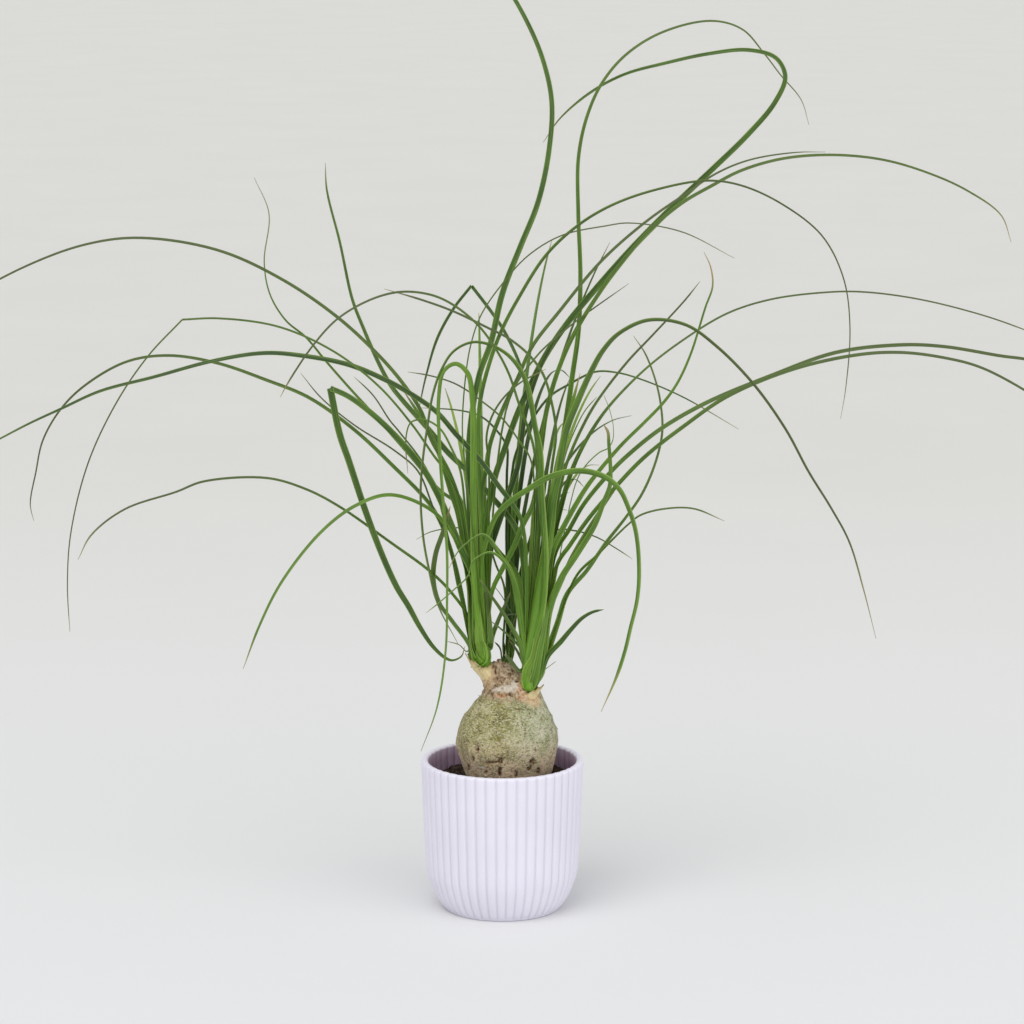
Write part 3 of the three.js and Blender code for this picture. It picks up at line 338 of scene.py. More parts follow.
BACK_LEAVES = [
    ["thin leaf to the left", [2.6, 2.2, 1.4], [16, 25, 40], 50, None,
     [[4, 380], [4.5, 390], [4, 403], [-5.5, 418], [-18, 429], [-35, 434], [-70.5, 436.5]]],
    ["low thread", [2, 1.8, 1.2], [16, 40, 70], 50, None,
     [[2, 280], [-5, 300], [-15, 325], [-26.5, 331.5], [-39.5, 333], [-60.5, 329.5], [-73, 323]]],
    ["thread to the right", [2, 1.8, 1.2], [16, 35, 60], 50, None,
     [[14, 280], [30, 310], [46, 330.5], [61.5, 330.5], [80, 325], [96.5, 315.5], [111, 306]]],
    ["thin leaf to the right", [3, 2.4, 1.4], [16, 35, 60], 50, None,
     [[10, 390], [20, 415], [27.5, 429.5], [41, 446.5], [56, 456], [78.5, 467], [96.5, 466.5],
      [116.5, 461], [152, 446], [200.5, 418]]],
    ["dark upright leaf", [5, 4, 2], [15, 18, 26], 50, 0.15,
     [[5.5, 250.5], [5.5, 271.5], [5, 290], [4, 313], [4, 342], [7, 372], [12, 398]]],
]

# Leaves with a sharp fold: the rising piece, then the piece that hangs from the end of it
LEFT_FOLDED = [
    [
        ["folded leaf", [8, 7, 5], [-16, -45, -80], 65, 0.2,
         [[-25, 290], [-36.5, 317], [-45, 338.5], [-55.5, 363], [-67, 383.5], [-88, 409.5], [-110, 431],
          [-130, 446], [-145, 453]]],
        ["folded leaf", [5.8, 5.2, 1.6], [-80, -52, -28], 50, 0.2,
         [[-145, 453], [-137.5, 414.5], [-130, 391.5], [-116.8, 350], [-102.3, 310], [-90, 282], [-80, 265],
          [-70.5, 247], [-59.5, 230], [-48.5, 219.5], [-42.5, 217.5], [-35, 221], [-32, 229.5]]],
    ],
    [
        ["kinked thin leaf", [3, 2.6, 2], [-8, -50, -85], 50, 0.3,
         [[-32, 342], [-46.5, 380], [-57.5, 394.5], [-76, 421.5], [-104.5, 455], [-143, 485],
          [-188.5, 505.5], [-238.5, 512.5], [-269, 511.5]]],
        ["kinked thin leaf", [2, 1.8, 1.2], [-85, -105, -135], 50, 0.3,
         [[-269, 511.5], [-298, 481], [-325.5, 441.5], [-351, 389], [-367, 329], [-371, 285],
          [-370, 242.5]]],
    ],
]

RIGHT_FOLDED = [
    [
        ["kinked leaf", [2.6, 2.8, 3], [-8, 40, 105], 50, 0.1,
         [[30, 395], [20, 455], [14, 476], [2, 501.5], [-8.5, 517.5], [-25.5, 540]]],
        ["kinked leaf", [4, 4, 2.4], [105, 106, 100], 50, 0.1,
         [[-25.5, 540], [-41, 520], [-54.5, 495], [-64, 463.5], [-70, 437]]],
    ],
]

# Small leaves and leaf bases low in the crowns, too fine for the solids
SMALL_LEAVES = {
    "left": [
        ["dry curl", [1.2, 1.2, 0.8], [-12, -16, -20], 40, None, [[-30, 225], [-37, 231], [-47, 234]]],
        ["leaf beside the neck", [5, 4.4, 2.4], [-8, -3, 4], 0, 0.35,
         [[-10.5, 228], [-8.6, 238], [-5, 248], [-1, 258], [3, 267], [7, 277]]],
        ["front leaf base", [11, 8, 3], [-15, -12, -4], 0, 0.6,
         [[-19.5, 234], [-20.5, 252], [-22, 275], [-24, 300]]],
        ["inner leaf base", [7, 6, 2.4], [-13, -10, -2], 0, 0.35,
         [[-10.5, 232], [-11, 250], [-13, 272], [-16, 296]]],
        ["outer leaf base", [9, 6, 2.4], [-14, -10, 0], 0, 0.4,
         [[-25.5, 236], [-27, 256], [-28.5, 280], [-31, 305]]],
    ],
    "right": [
        ["low dark leaf", [4, 3.4, 1.6], [-14, -10, -6], 40, None, [[18.5, 214], [12, 227], [7, 234]]],
        ["low broad leaf", [4.4, 4, 2.6], [-16, -15, -14], 40, 0.3, [[15, 208], [7, 217.5], [2, 222.5]]],
        ["leaf behind it", [2.6, 2.4, 1.4], [-8, -4, 0], 40, None, [[19, 224], [14, 236], [10, 243]]],
        ["crossing leaf", [3, 2.6, 1.4], [-16, -14, -10], 40, 0.15,
         [[19, 222], [12, 232.5], [0.5, 243.5], [-10, 252]]],
        ["dry curl", [1.4, 1.2, 0.8], [-14, -18, -22], 40, None, [[35, 208], [40, 212], [46, 216.5]]],
        ["front leaf base", [9, 7, 2.6], [-20, -15, -6], 0, 0.6,
         [[27, 220], [30, 242], [33, 272], [37, 306]]],
        ["outer leaf base", [8, 6, 2], [-23, -20, -10], 0, 0.4,
         [[31.5, 222], [35.5, 243], [40, 268], [46, 292]]],
        ["leaf beside it", [1.8, 1.6, 1.0], [-10, -8, -4], 50, None,
         [[52, 390], [61, 416], [70.5, 434.5], [80, 445.5]]],
        ["broad inner leaf", [8, 9, 3], [-12, -4, 4], 0, 0.55,
         [[38, 300], [42.5, 350], [49, 395], [57, 430], [66, 466]]],
    ],
    "back": [
        ["short dark leaf", [4, 3.4, 2], [12, 10, 8], 40, None, [[0, 216], [-2, 228], [-6.5, 233.5]]],
        ["crossing dark leaf", [4, 3.6, 1.6], [12, 8, 4], 0, None,
         [[8, 258], [5.5, 263], [0.5, 272.5], [-8.5, 285]]],
        ["dark twig", [1.6, 1.6, 1.2], [10, -2, -8], 40, 0, [[4, 256], [8, 257.5], [15.5, 259]]],
        ["dry thread", [0.9, 0.9, 0.7], [0, -8, -12], 40, None, [[12.5, 258], [15, 251], [18, 243]]],
    ],
}

# A leaf's dry end starts where the measure along it passes 0.92. The measure runs from 0 to 1, and
# on these leaves to the number given, so more of them is dry. A leaf called dry is brown all along,
# and a folded leaf's two pieces share the measure.
DRY_ENDS = {
    "leaf turned up": 1.09,
    "leaf with a dry tip": 1.08,
    "long upper left leaf": 1.08,
    "low waved arch": 1.04,
    "great right arch": 1.04,
}
WHOLE = (0.0, 1.0)
DRY_ALL_ALONG = (0.97, 1.0)
RISING_STRETCH = (0.0, 0.6)
HANGING_STRETCH = (0.5, 1.0)

# More leaves fill the bundles and the side away from the eye, by rule: how many, and between which
# headings (degrees from +X towards +Y), rises and reaches each one lies. Its points lie at
# FILL_SHARES of the way along it.
FILL = {
    "left": {"seed": 10, "count": 7, "heading": [88, 108], "rise": [120, 250], "reach": [60, 150]},
    "right": {"seed": 5, "count": 9, "heading": [62, 98], "rise": [120, 250], "reach": [60, 150]},
    "back": {"seed": 35, "count": 4, "heading": [50, 80], "rise": [150, 320], "reach": [90, 190]},
}
FILL_WIDTHS = [6, 4.2, 1.6, 0.4]
FILL_SHARES = [0.22, 0.36, 0.5, 0.64, 0.78, 0.9, 1]
FILL_START = 5
FILL_LIFT = 14
BLADE_SEED = 100

# Where a leaf is rooted: height over the seat, share of the foot's radius, and the power of the
# crown's draw_in by which that share is drawn in
ROOTS = [[0.5, 0.38, 1], [9, 0.68, 0.3], [22, 0.82, 0]]

# Blades are channelled: raised edges, a keel below, and a thread for a tip. Their five widths hold
# at these shares of their length. The channel fades towards the tip and is deeper at the clasp.
WIDTH_SHARES = [0, 0.12, 0.5, 0.93, 1]
ROOT_SHARE = 1.8
TIP_WIDTH = 0.35
STATIONS_PER_POINT = 8
FEWEST_STATIONS = 24
ACROSS = [-1, -0.55, 0, 0.55, 1]
BLADE_RING = [(0, across) for across in ACROSS] + [(1, across) for across in reversed(ACROSS)]
CHANNEL = 0.42
CHANNEL_FADE = 0.35
CHANNEL_POWER = 1.35
CHANNEL_SINK = 0.4
BLADE_THICKNESS = 0.3
KEEL_SHARE = 0.035
CLASP_SHARE = 0.24
CLASP_CHANNEL = 0.5
EDGE_THINNING = 0.72
SWAY = 0.35


def rgb(red, green, blue):
    """A colour seen on screen, 0 to 255, as the linear colour that a shader takes."""
    parts = [c / 255 for c in (red, green, blue)]
    return [c / 12.92 if c <= 0.04045 else ((c + 0.055) / 1.055) ** 2.4 for c in parts] + [1.0]


def smooth(low, high, value):
    """0 below low, 1 above high, and an even ease between."""
    share = min(max((value - low) / (high - low), 0.0), 1.0)
    return share * share * (3 - 2 * share)


def random_from(seed):
    """Random numbers from 0 to 1 that are the same at every run."""
    state = seed
    while True:
        state = (state * 16807) % 2147483647
        yield state / 2147483647


def turns(count):
    """The angles of one whole turn, in even steps."""
    return [2 * math.pi * k / count for k in range(count)]


def polar(radius, angle, height=0.0):
    """The point at a radius, an angle from +X and a height."""
    return Vector((radius * math.cos(angle), radius * math.sin(angle), height))


def spoke(axis, angle):
    """The unit way square to an axis, at an angle round it."""
    first = Vector((0, 1, 0)).cross(axis).normalized()
    second = axis.cross(first).normalized()
    return first * math.cos(angle) + second * math.sin(angle)


class Nodes:
    """A material's node tree, with short calls for the nodes that the materials below share."""

    def __init__(self, name):
        self.material = bpy.data.materials.new(name)
        self.material.use_nodes = True
        self.tree = self.material.node_tree
        self.shader = self.tree.nodes["Principled BSDF"]

    def put(self, socket, value):
        if isinstance(value, bpy.types.NodeSocket):
            self.tree.links.new(value, socket)
        else:
            socket.default_value = value

    def make(self, kind, **inputs):
        node = self.tree.nodes.new(kind)
        for name, value in inputs.items():
            self.put(node.inputs[name], value)
        return node

    def attribute(self, name):
        node = self.make("ShaderNodeAttribute")
        node.attribute_name = name
        return node.outputs["Fac"]

    def mapped(self, output, scale):
        coordinates = self.make("ShaderNodeTexCoord").outputs[output]
        return self.make("ShaderNodeMapping", Vector=coordinates, Scale=scale).outputs["Vector"]

    def place(self, scale=(1, 1, 1)):
        return self.mapped("Object", scale)

    def surface(self, scale):
        return self.mapped("UV", scale)

    def noise(self, vector, scale, detail=3.0, roughness=0.55):
        settings = {"Scale": scale, "Detail": detail, "Roughness": roughness}
        return self.make("ShaderNodeTexNoise", Vector=vector, **settings).outputs["Fac"]

    def cells(self, vector, scale):
        return self.make("ShaderNodeTexVoronoi", Vector=vector, Scale=scale).outputs["Distance"]

    def calculate(self, operation, *values):
        node = self.make("ShaderNodeMath")
        node.operation = operation
        for socket, value in zip(node.inputs, values):
            self.put(socket, value)
        return node.outputs[0]

    def plus(self, a, b):
        return self.calculate("ADD", a, b)

    def times(self, a, b):
        return self.calculate("MULTIPLY", a, b)

    def ramp(self, value, *stops):
        """Colours between stops of (position, colour); a share from 0 to 1 stands for a grey."""
        node = self.make("ShaderNodeValToRGB", Fac=value)
        ramp = node.color_ramp
        while len(ramp.elements) < len(stops):
            ramp.elements.new(1.0)
        for element, (position, colour) in zip(ramp.elements, stops):
            element.position = position
            element.color = colour if isinstance(colour, list) else [colour] * 3 + [1]
        return node.outputs["Color"]

    def mix(self, share, a, b):
        node = self.make("ShaderNodeMix")
        node.data_type = "RGBA"
        self.put(node.inputs["Factor"], share)
        self.put(node.inputs[6], a)
        self.put(node.inputs[7], b)
        return node.outputs[2]

    def bump(self, height, strength, distance):
        node = self.make("ShaderNodeBump", Height=height, Strength=strength, Distance=distance)
        self.put(self.shader.inputs["Normal"], node.outputs["Normal"])

    def finish(self, colour, roughness, specular):
        self.put(self.shader.inputs["Base Color"], colour)
        self.put(self.shader.inputs["Roughness"], roughness)
        self.put(self.shader.inputs["Specular IOR Level"], specular)
        return self.material


def leaf_material(name, dark, middle, light):
    """Green blade: pale at its foot, striped along its length, browned at its last stretch."""
    n = Nodes(name)
    along = n.attribute("along")
    tint = n.attribute("tint")
    stripes = n.noise(n.surface((2.4, 0.012, 1)), 1.0)
    patches = n.noise(n.surface((0.12, 0.035, 1)), 1.0, 2.0)
    # A leaf's lightness, with random patches; its dark values are partly painted shade.
    shade = n.plus(n.times(tint, 0.7), n.times(patches, 0.3))
    green = n.ramp(shade, (0.2, dark), (0.5, middle), (0.8, light))
    dark_lines = n.ramp(stripes, (0.4, 0.65), (0.5, 0.0))
    green = n.mix(dark_lines, green, rgb(38, 66, 16))
    light_lines = n.ramp(stripes, (0.53, 0.0), (0.66, 0.5))
    green = n.mix(light_lines, green, rgb(146, 184, 70))
    off_middle = n.calculate("ABSOLUTE", n.attribute("across"))
    edge = n.ramp(off_middle, (0.7, 0.0), (0.97, 0.75))
    green = n.mix(edge, green, rgb(150, 176, 84))
    dull = n.ramp(tint, (0.22, 0.25), (0.27, 1.0), (0.33, 1.0), (0.38, 0.25))
    outer = n.times(n.ramp(along, (0.25, 0.0), (0.75, 0.8)), dull)
    green = n.mix(outer, green, rgb(74, 80, 48))
    foot = n.ramp(along, (0.0, 0.9), (0.05, 0.65), (0.2, 0.0))
    green = n.mix(foot, green, rgb(116, 164, 44))
    aged = n.plus(along, n.plus(n.times(tint, 0.05), -0.025))
    end = n.ramp(aged, (0.92, 0.0), (0.995, 1.0))
    dry = n.mix(n.attribute("dry"), rgb(112, 124, 76), rgb(166, 146, 98))
    n.bump(stripes, strength=0.25, distance=0.4 * MM)
    roughness = n.ramp(stripes, (0.3, 0.4), (0.7, 0.55))
    return n.finish(n.mix(end, green, dry), roughness, specular=0.35)


def dry_leaf_material():
    """Papery dry leaf base: cream and streaked, browned towards its tip."""
    n = Nodes("dry_sheath")
    streaks = n.noise(n.surface((1.6, 0.08, 1)), 1.0)
    cream = n.ramp(streaks, (0.3, rgb(208, 180, 128)), (0.5, rgb(226, 208, 158)), (0.7, rgb(238, 226, 190)))
    end = n.ramp(n.attribute("along"), (0.7, 0.0), (0.9, 0.35), (1.0, 0.85))
    n.bump(streaks, strength=0.5, distance=0.6 * MM)
    return n.finish(n.mix(end, cream, rgb(158, 136, 72)), roughness=0.75, specular=0.25)


def bark_material():
    """Skin of the swollen trunk: green on its left, a painted grey sheen on its right, and buff low down,
    lightened there as painted light; mottled and flecked, with brown fibre on the neck and cream, rust
    and pale scars where leaves were."""
    n = Nodes("bark")
    place = n.place()
    height = n.make("ShaderNodeSeparateXYZ", Vector=place).outputs
    blotches = n.noise(place, 75.0, 5.0, 0.68)
    speckle = n.noise(n.place((1, 1, 1.3)), 480.0, 6.0, 0.85)
    fine = n.noise(n.place((0.7, 0.7, 1.5)), 640.0, 5.0, 0.8)
    flecks = n.noise(n.place((1, 1, 1.3)), 130.0, 6.0, 0.8)
    fibres = n.noise(n.place((1, 1, 0.7)), 300.0, 5.0, 0.75)
    green = n.ramp(
        blotches, (0.38, rgb(116, 114, 44)), (0.5, rgb(164, 160, 92)), (0.62, rgb(202, 194, 146)),
    )
    # Painted sheen: the right side turns a lighter grey.
    painted_sheen_grey = n.ramp(
        blotches, (0.38, rgb(134, 148, 92)), (0.5, rgb(184, 190, 150)), (0.62, rgb(212, 210, 182)),
    )
    side = n.ramp(n.times(height["X"], 12.0), (0.0, 0.0), (0.3, 1.0))
    # Low down the skin turns buff, its own tone, and is lifted lighter there as painted light against the
    # pot's shade.
    lower = n.ramp(height["Z"], (0.128, 1.0), (0.158, 0.0))
    buff_and_painted_light = n.times(lower, n.ramp(blotches, (0.38, 0.45), (0.52, 1.0)))
    brown = n.ramp(fibres, (0.36, rgb(70, 48, 32)), (0.45, rgb(156, 126, 94)), (0.6, rgb(212, 194, 164)))
    cream = n.ramp(
        fibres, (0.36, rgb(186, 146, 106)), (0.5, rgb(220, 192, 150)), (0.64, rgb(232, 214, 184)),
    )
    rust = n.ramp(fibres, (0.38, rgb(138, 88, 52)), (0.5, rgb(196, 152, 110)), (0.62, rgb(222, 194, 166)))
    layers = [
        (side, painted_sheen_grey),
        (buff_and_painted_light, rgb(236, 206, 170)),
        (n.ramp(speckle, (0.41, 0.95), (0.5, 0.0)), rgb(92, 80, 44)),
        (n.ramp(fine, (0.5, 0.0), (0.58, 0.9)), rgb(218, 210, 182)),
        (n.ramp(flecks, (0.36, 0.8), (0.43, 0.0)), rgb(112, 84, 44)),
        (n.attribute("neck"), brown),
        (n.attribute("sheathing"), cream),
        (n.attribute("rust"), rust),
        (n.attribute("scar"), rgb(232, 222, 206)),
        (n.attribute("crack"), rgb(92, 50, 30)),
    ]
    colour = green
    for share, over in layers:
        colour = n.mix(share, colour, over)
    n.bump(n.plus(n.times(speckle, 0.8), n.times(fine, 0.7)), strength=0.9, distance=2 * MM)
    return n.finish(colour, roughness=0.82, specular=0.25)


def soil_material():
    """Dark potting soil with lighter crumbs and fibres."""
    n = Nodes("soil")
    place = n.place()
    crumbs = n.noise(place, 260.0, 5.0, 0.7)
    bits = n.cells(place, 320.0)
    colour = n.ramp(crumbs, (0.3, rgb(26, 20, 17)), (0.5, rgb(52, 40, 32)), (0.72, rgb(104, 82, 62)))
    colour = n.mix(n.ramp(bits, (0.1, 0.5), (0.25, 0.0)), colour, rgb(128, 106, 82))
    n.bump(n.plus(crumbs, bits), strength=0.9, distance=2 * MM)
    return n.finish(colour, roughness=0.95, specular=0.2)


def pot_material():
    """Smooth lilac plastic, with painted shade darkening its grooves and inside."""
    n = Nodes("pot_plastic")
    place = n.place()
    cloud = n.noise(place, 18.0, 2.0)
    grain = n.noise(place, 1400.0, 2.0)
    outside = n.ramp(cloud, (0.3, rgb(226, 222, 235)), (0.7, rgb(231, 227, 240)))
    # Painted shade: the inside is a darker purple-grey than the same plastic outside.
    inside = n.ramp(cloud, (0.3, rgb(162, 138, 164)), (0.7, rgb(182, 158, 184)))
    # Painted shade: the grooves are darkened by their depth.
    outside = n.mix(n.ramp(n.attribute("groove"), (0.2, 0.0), (0.8, 0.36)), outside, rgb(202, 198, 212))
    n.bump(grain, strength=0.06, distance=0.2 * MM)
    colour = n.mix(n.attribute("inside"), outside, inside)
    return n.finish(colour, n.ramp(grain, (0.3, 0.38), (0.7, 0.48)), specular=0.5)


class Skin:
    """Gathers the points, faces and attributes of one mesh."""

    def __init__(self):
        self.points = []
        self.faces = []
        self.values = {}
        self.uvs = []

    def point(self, place, uv=(0.0, 0.0), **values):
        self.points.append(tuple(place))
        self.uvs.append(uv)
        for name, value in values.items():
            self.values.setdefault(name, []).append(value)
        return len(self.points) - 1

    def grid(self, rows, closed=False):
        """Faces between rows of point numbers. A closed row joins its last point to its first."""
        for low, high in zip(rows, rows[1:]):
            for k in range(len(low) if closed else len(low) - 1):
                after = (k + 1) % len(low)
                self.faces.append((low[k], low[after], high[after], high[k]))

    def loft(self, rings):
        """A closed skin through rings of point numbers, with a face on each end."""
        self.grid(rings, closed=True)
        self.faces.append(tuple(reversed(rings[0])))
        self.faces.append(tuple(rings[-1]))

    def build(self, name, material, slot, *nodes):
        piece = new_piece(name, self.points, self.faces)
        mesh = piece.data
        for key, values in self.values.items():
            mesh.attributes.new(key, "FLOAT", "POINT").data.foreach_set("value", values)
        corners = np.empty(len(mesh.loops), dtype=np.int32)
        mesh.loops.foreach_get("vertex_index", corners)
        layer = mesh.uv_layers.new(name="UVMap")
        layer.data.foreach_set("uv", np.array(self.uvs, dtype=np.float32)[corners].ravel())
        mesh.polygons.foreach_set("use_smooth", [True] * len(mesh.polygons))
        mesh.materials.append(material)
        mesh.validate()
        dress(piece, slot, *nodes)


def new_piece(name, points, faces):
    mesh = bpy.data.meshes.new(name)
    mesh.from_pydata(points, [], faces)
    piece = bpy.data.objects.new(name, mesh)
    bpy.context.scene.collection.objects.link(piece)
    return piece


def dress(piece, slot, *nodes):
    """The piece rides on the one body and stands for plain solids; its slot is not used."""
    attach(piece, "root")
    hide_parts(*nodes)


def profile_radius(profile, height):
    """Radius at a height of a profile of [radius, height] pairs, eased through its points."""
    heights = [z for _, z in profile]
    k = max(i for i in range(len(heights) - 1) if heights[i] <= height or i == 0)
    (r1, z1), (r2, z2) = profile[k], profile[k + 1]
    before, after = profile[max(k - 1, 0)], profile[min(k + 2, len(profile) - 1)]
    slope1 = (r2 - before[0]) / (z2 - before[1])
    slope2 = (after[0] - r1) / (after[1] - z1)
    t = (height - z1) / (z2 - z1)
    span = z2 - z1
    return (
        r1 * (2 * t**3 - 3 * t**2 + 1)
        + slope1 * span * (t**3 - 2 * t**2 + t)
        + r2 * (3 * t**2 - 2 * t**3)
        + slope2 * span * (t**3 - t**2)
    )


def groove(angle):
    """Depth of the groove between two ribs at an angle, from 0 on a rib's crest to about 1."""
    turn = (math.degrees(angle) - RIB_PHASE) * RIB_COUNT / 360
    off = abs(turn - round(turn)) * 2
    return GROOVE_SHARE * max(0.0, 1 - off / GROOVE_WIDTH) ** 1.5 + CREST_SHARE * (1 - off) ** 2


def make_pot():
    """Ribbed pot: broad round ribs between narrow grooves, down to the foot, and a rounded rim."""
    skin = Skin()

    def ring(radius, height, ribs, inside):
        points = []
        for angle in turns(RIB_COUNT * SIDES_PER_RIB):
            place = polar(radius - ribs * RIB_DEPTH * groove(angle), angle, height) * MM
            uv = (angle / (2 * math.pi), height / POT_HEIGHT)
            # The groove's depth and how far the ring is inside also set how much painted shade a point
            # gets.
            points.append(skin.point(place, uv, inside=inside, groove=ribs * groove(angle)))
        return points

    wall = [[profile_radius(POT_OUTSIDE, height), height, 1, 0] for height in POT_WALL_HEIGHTS]
    skin.loft([ring(*values) for values in POT_FOOT_RINGS + wall + POT_RIM_RINGS + POT_INNER_RINGS])
    skin.build("pot_ribbed", pot_material(), "pot_plastic", "pot")


def make_soil():
    """Soil: a lumpy top, strewn with crumbs, over a plain side hidden by the pot."""
    skin = Skin()
    rings = []
    for radius in SOIL_RINGS:
        ring = []
        for angle in turns(SOIL_SIDES):
            flat = polar(radius, angle)
            lump = sum(high * noise.noise(flat * fine + UP * layer) for high, fine, layer in SOIL_LUMPS)
            ring.append(skin.point((flat + UP * (SOIL_TOP + lump)) * MM))
        rings.append(ring)
    for radius, height in SOIL_SIDE_RINGS:
        rings.append([skin.point(polar(radius, angle, height) * MM) for angle in turns(SOIL_SIDES)])
    skin.loft([list(reversed(ring)) for ring in rings])
    draw = random_from(CRUMB_SEED)
    for _ in range(CRUMB_COUNT):
        angle = 2 * math.pi * next(draw)
        radius = BULB_AT_SOIL + (SOIL_RADIUS - 1 - BULB_AT_SOIL) * next(draw) ** 0.8
        size = SMALLEST_CRUMB + CRUMB_RANGE * next(draw) ** 2
        beside = BULB_MIDDLE * (SOIL_RADIUS - radius) / (SOIL_RADIUS - BULB_AT_SOIL)
        across = beside + radius * math.cos(angle)
        middle = Vector((across, radius * math.sin(angle), SOIL_TOP + CRUMB_LIFT))
        add_crumb(skin, middle, size, draw)
    skin.build("soil_lumpy", soil_material(), "soil", "soil")


def add_crumb(skin, middle, size, draw):
    """One crumb: a small uneven six-sided lump."""
    rings = []
    for tilt in CRUMB_TILTS:
        ring = []
        for angle in turns(CRUMB_SIDES):
            reach = size * math.cos(tilt) * (0.7 + 0.6 * next(draw))
            ring.append(skin.point((middle + polar(reach, angle, 0.8 * size * math.sin(tilt))) * MM))
        rings.append(ring)
    skin.loft(rings)


def crown_frame(crown):
    """Seat of a crown, and the unit way along which it leans."""
    return Vector(crown["seat"]), Vector(crown["lean"]).normalized()


def tube(skin, stations, sides):
    """A closed round skin through [middle, axis, radius] stations."""
    rings = []
    for middle, axis, radius in stations:
        rings.append([skin.point((middle + radius * spoke(axis, angle)) * MM) for angle in turns(sides)])
    skin.loft(rings)


def spot(seen, across, up, half_width, half_height):
    """1 in the middle of a mark, falling to 0 at its edge, with a ragged outline."""
    wobble = 0.5 * noise.noise(Vector((seen[0], seen[1], 3)) * 0.45)
    off = math.hypot((seen[0] - across) / half_width, (seen[1] - up) / half_height)
    return 1 - smooth(0.5, 1.0, off + wobble)


def trunk_forms():
    """The trunk's closed forms, which overlap: bulb and neck, three stubs, lumps of fibre, flakes."""
    skin = Skin()
    rings = np.array(TRUNK_RINGS, dtype=float)
    stations = []
    for height in np.linspace(TRUNK_RINGS[0][0], TRUNK_RINGS[-1][0], TRUNK_STEPS):
        radius, x, y = (float(np.interp(height, rings[:, 0], rings[:, k])) for k in (1, 2, 3))
        stations.append([Vector((x, y, float(height))), UP, radius])
    tube(skin, stations, TRUNK_SIDES)
    for crown in CROWNS.values():
        seat, axis = crown_frame(crown)
        start = Vector(crown["start"])
        waist = seat + (start - seat).normalized() * SHEATH_DEPTH
        top = seat + axis * STUB_RISE
        steps = [(start, 1), (waist, WAIST_SHARE), (seat, SEAT_SHARE), (top, SEAT_SHARE)]
        tube(skin, [[middle, axis, share * crown["foot"]] for middle, share in steps], STUB_SIDES)
    for x, y, base, radius, rise in FIBRE_LUMPS:
        low = Vector((x, y, base - FIBRE_LUMP_DEPTH))
        length = FIBRE_LUMP_DEPTH + rise
        stations = [[low + UP * length * t, UP, radius * share] for t, share in FIBRE_LUMP_TAPER.items()]
        tube(skin, stations, FIBRE_LUMP_SIDES)
    for low, high in FLAKES:
        stations = [[Vector(low).lerp(Vector(high), t), UP, radius] for t, radius in FLAKE_RADII.items()]
        tube(skin, stations, FLAKE_SIDES)
    return skin


def make_trunk():
    """Trunk: its forms grown into one skin, then softened, roughened, dented and marked."""
    forms = trunk_forms()
    piece = new_piece("trunk_bark", forms.points, forms.faces)
    mesh = piece.data
    remesh = piece.modifiers.new("grow together", "REMESH")
    remesh.mode = "VOXEL"
    remesh.voxel_size = SKIN_GRAIN * MM
    soften = piece.modifiers.new("soften", "SMOOTH")
    soften.factor = SOFTENING
    soften.iterations = SOFTENING_ROUNDS
    graph = bpy.context.evaluated_depsgraph_get()
    grown = bpy.data.meshes.new_from_object(piece.evaluated_get(graph))
    piece.modifiers.clear()
    piece.data = grown
    bpy.data.meshes.remove(mesh)
    grown.name = "trunk_bark"
    roughen_trunk(grown)
    grown.materials.clear()
    grown.materials.append(bark_material())
    dress(piece, "bark", "trunk")


def trunk_masks(place):
    """How far each of the trunk's finishes holds at a point, wholly from 1 up, and its dent's depth."""
    seen = as_seen(place)
    front = 1 - smooth(*FRONT, place.y)
    crack = front * max(spot(seen, *mark[:4]) for mark in CRACKS)
    stain = max(FLAKE_STAIN - (place - Vector(tip)).length / FLAKE_STAIN_FALL for _, tip in FLAKES)
    crack = max(crack, stain)
    sheathing = 0.0
    for crown in CROWNS.values():
        seat, axis = crown_frame(crown)
        height = (place - seat).dot(axis)
        off = (place - seat - axis * height).length
        ragged_height = height + 4 * noise.noise(place * 0.3)
        near = (1 - smooth(*SHEATHING_REACH, off)) * smooth(*SHEATHING_HEIGHT, ragged_height)
        sheathing = max(sheathing, near)
    masks = {
        "neck": smooth(*NECK, place.z + 3 * noise.noise(place * 0.2)),
        "scar": front * max(spot(seen, *mark) for mark in SCARS),
        "crack": crack * smooth(-0.3, 0.2, noise.noise(place * 0.9) + 0.15),
        "rust": front * max(spot(seen, *mark) for mark in RUST),
        "sheathing": sheathing,
    }
    dent = front * max(spot(seen, *mark[:4]) * mark[4] for mark in CRACKS)
    return masks, dent


def roughen_trunk(mesh):
    """Moves the trunk's points along their normals, and writes the masks that its material reads."""
    columns = {}
    moved = []
    for vertex in mesh.vertices:
        place = vertex.co / MM
        masks, dent = trunk_masks(place)
        neck, scar = masks["neck"], masks["scar"]
        lumps = 1.1 * noise.noise(place * 0.045) + 0.5 * noise.noise(place * 0.16)
        grain = 0.28 * noise.noise(place * 0.7)
        rings = 0.45 * neck * math.sin(place.z * 1.3 + 3 * noise.noise(place * 0.12))
        ragged = 1.3 * neck * noise.noise(Vector((place.x, place.y, 0.5 * place.z)) * 0.5)
        shift = lumps * (1 - 0.5 * neck) + (grain + rings + ragged) * (1 - 0.8 * scar) - dent
        moved.extend((place + vertex.normal * shift) * MM)
        masks["scar"] *= 0.75 + 0.5 * noise.noise(place * 0.6)
        for name, value in masks.items():
            columns.setdefault(name, []).append(value)
    mesh.vertices.foreach_set("co", moved)
    for name, values in columns.items():
        mesh.attributes.new(name, "FLOAT", "POINT").data.foreach_set("value", values)
    mesh.polygons.foreach_set("use_smooth", [True] * len(mesh.polygons))
    mesh.update()


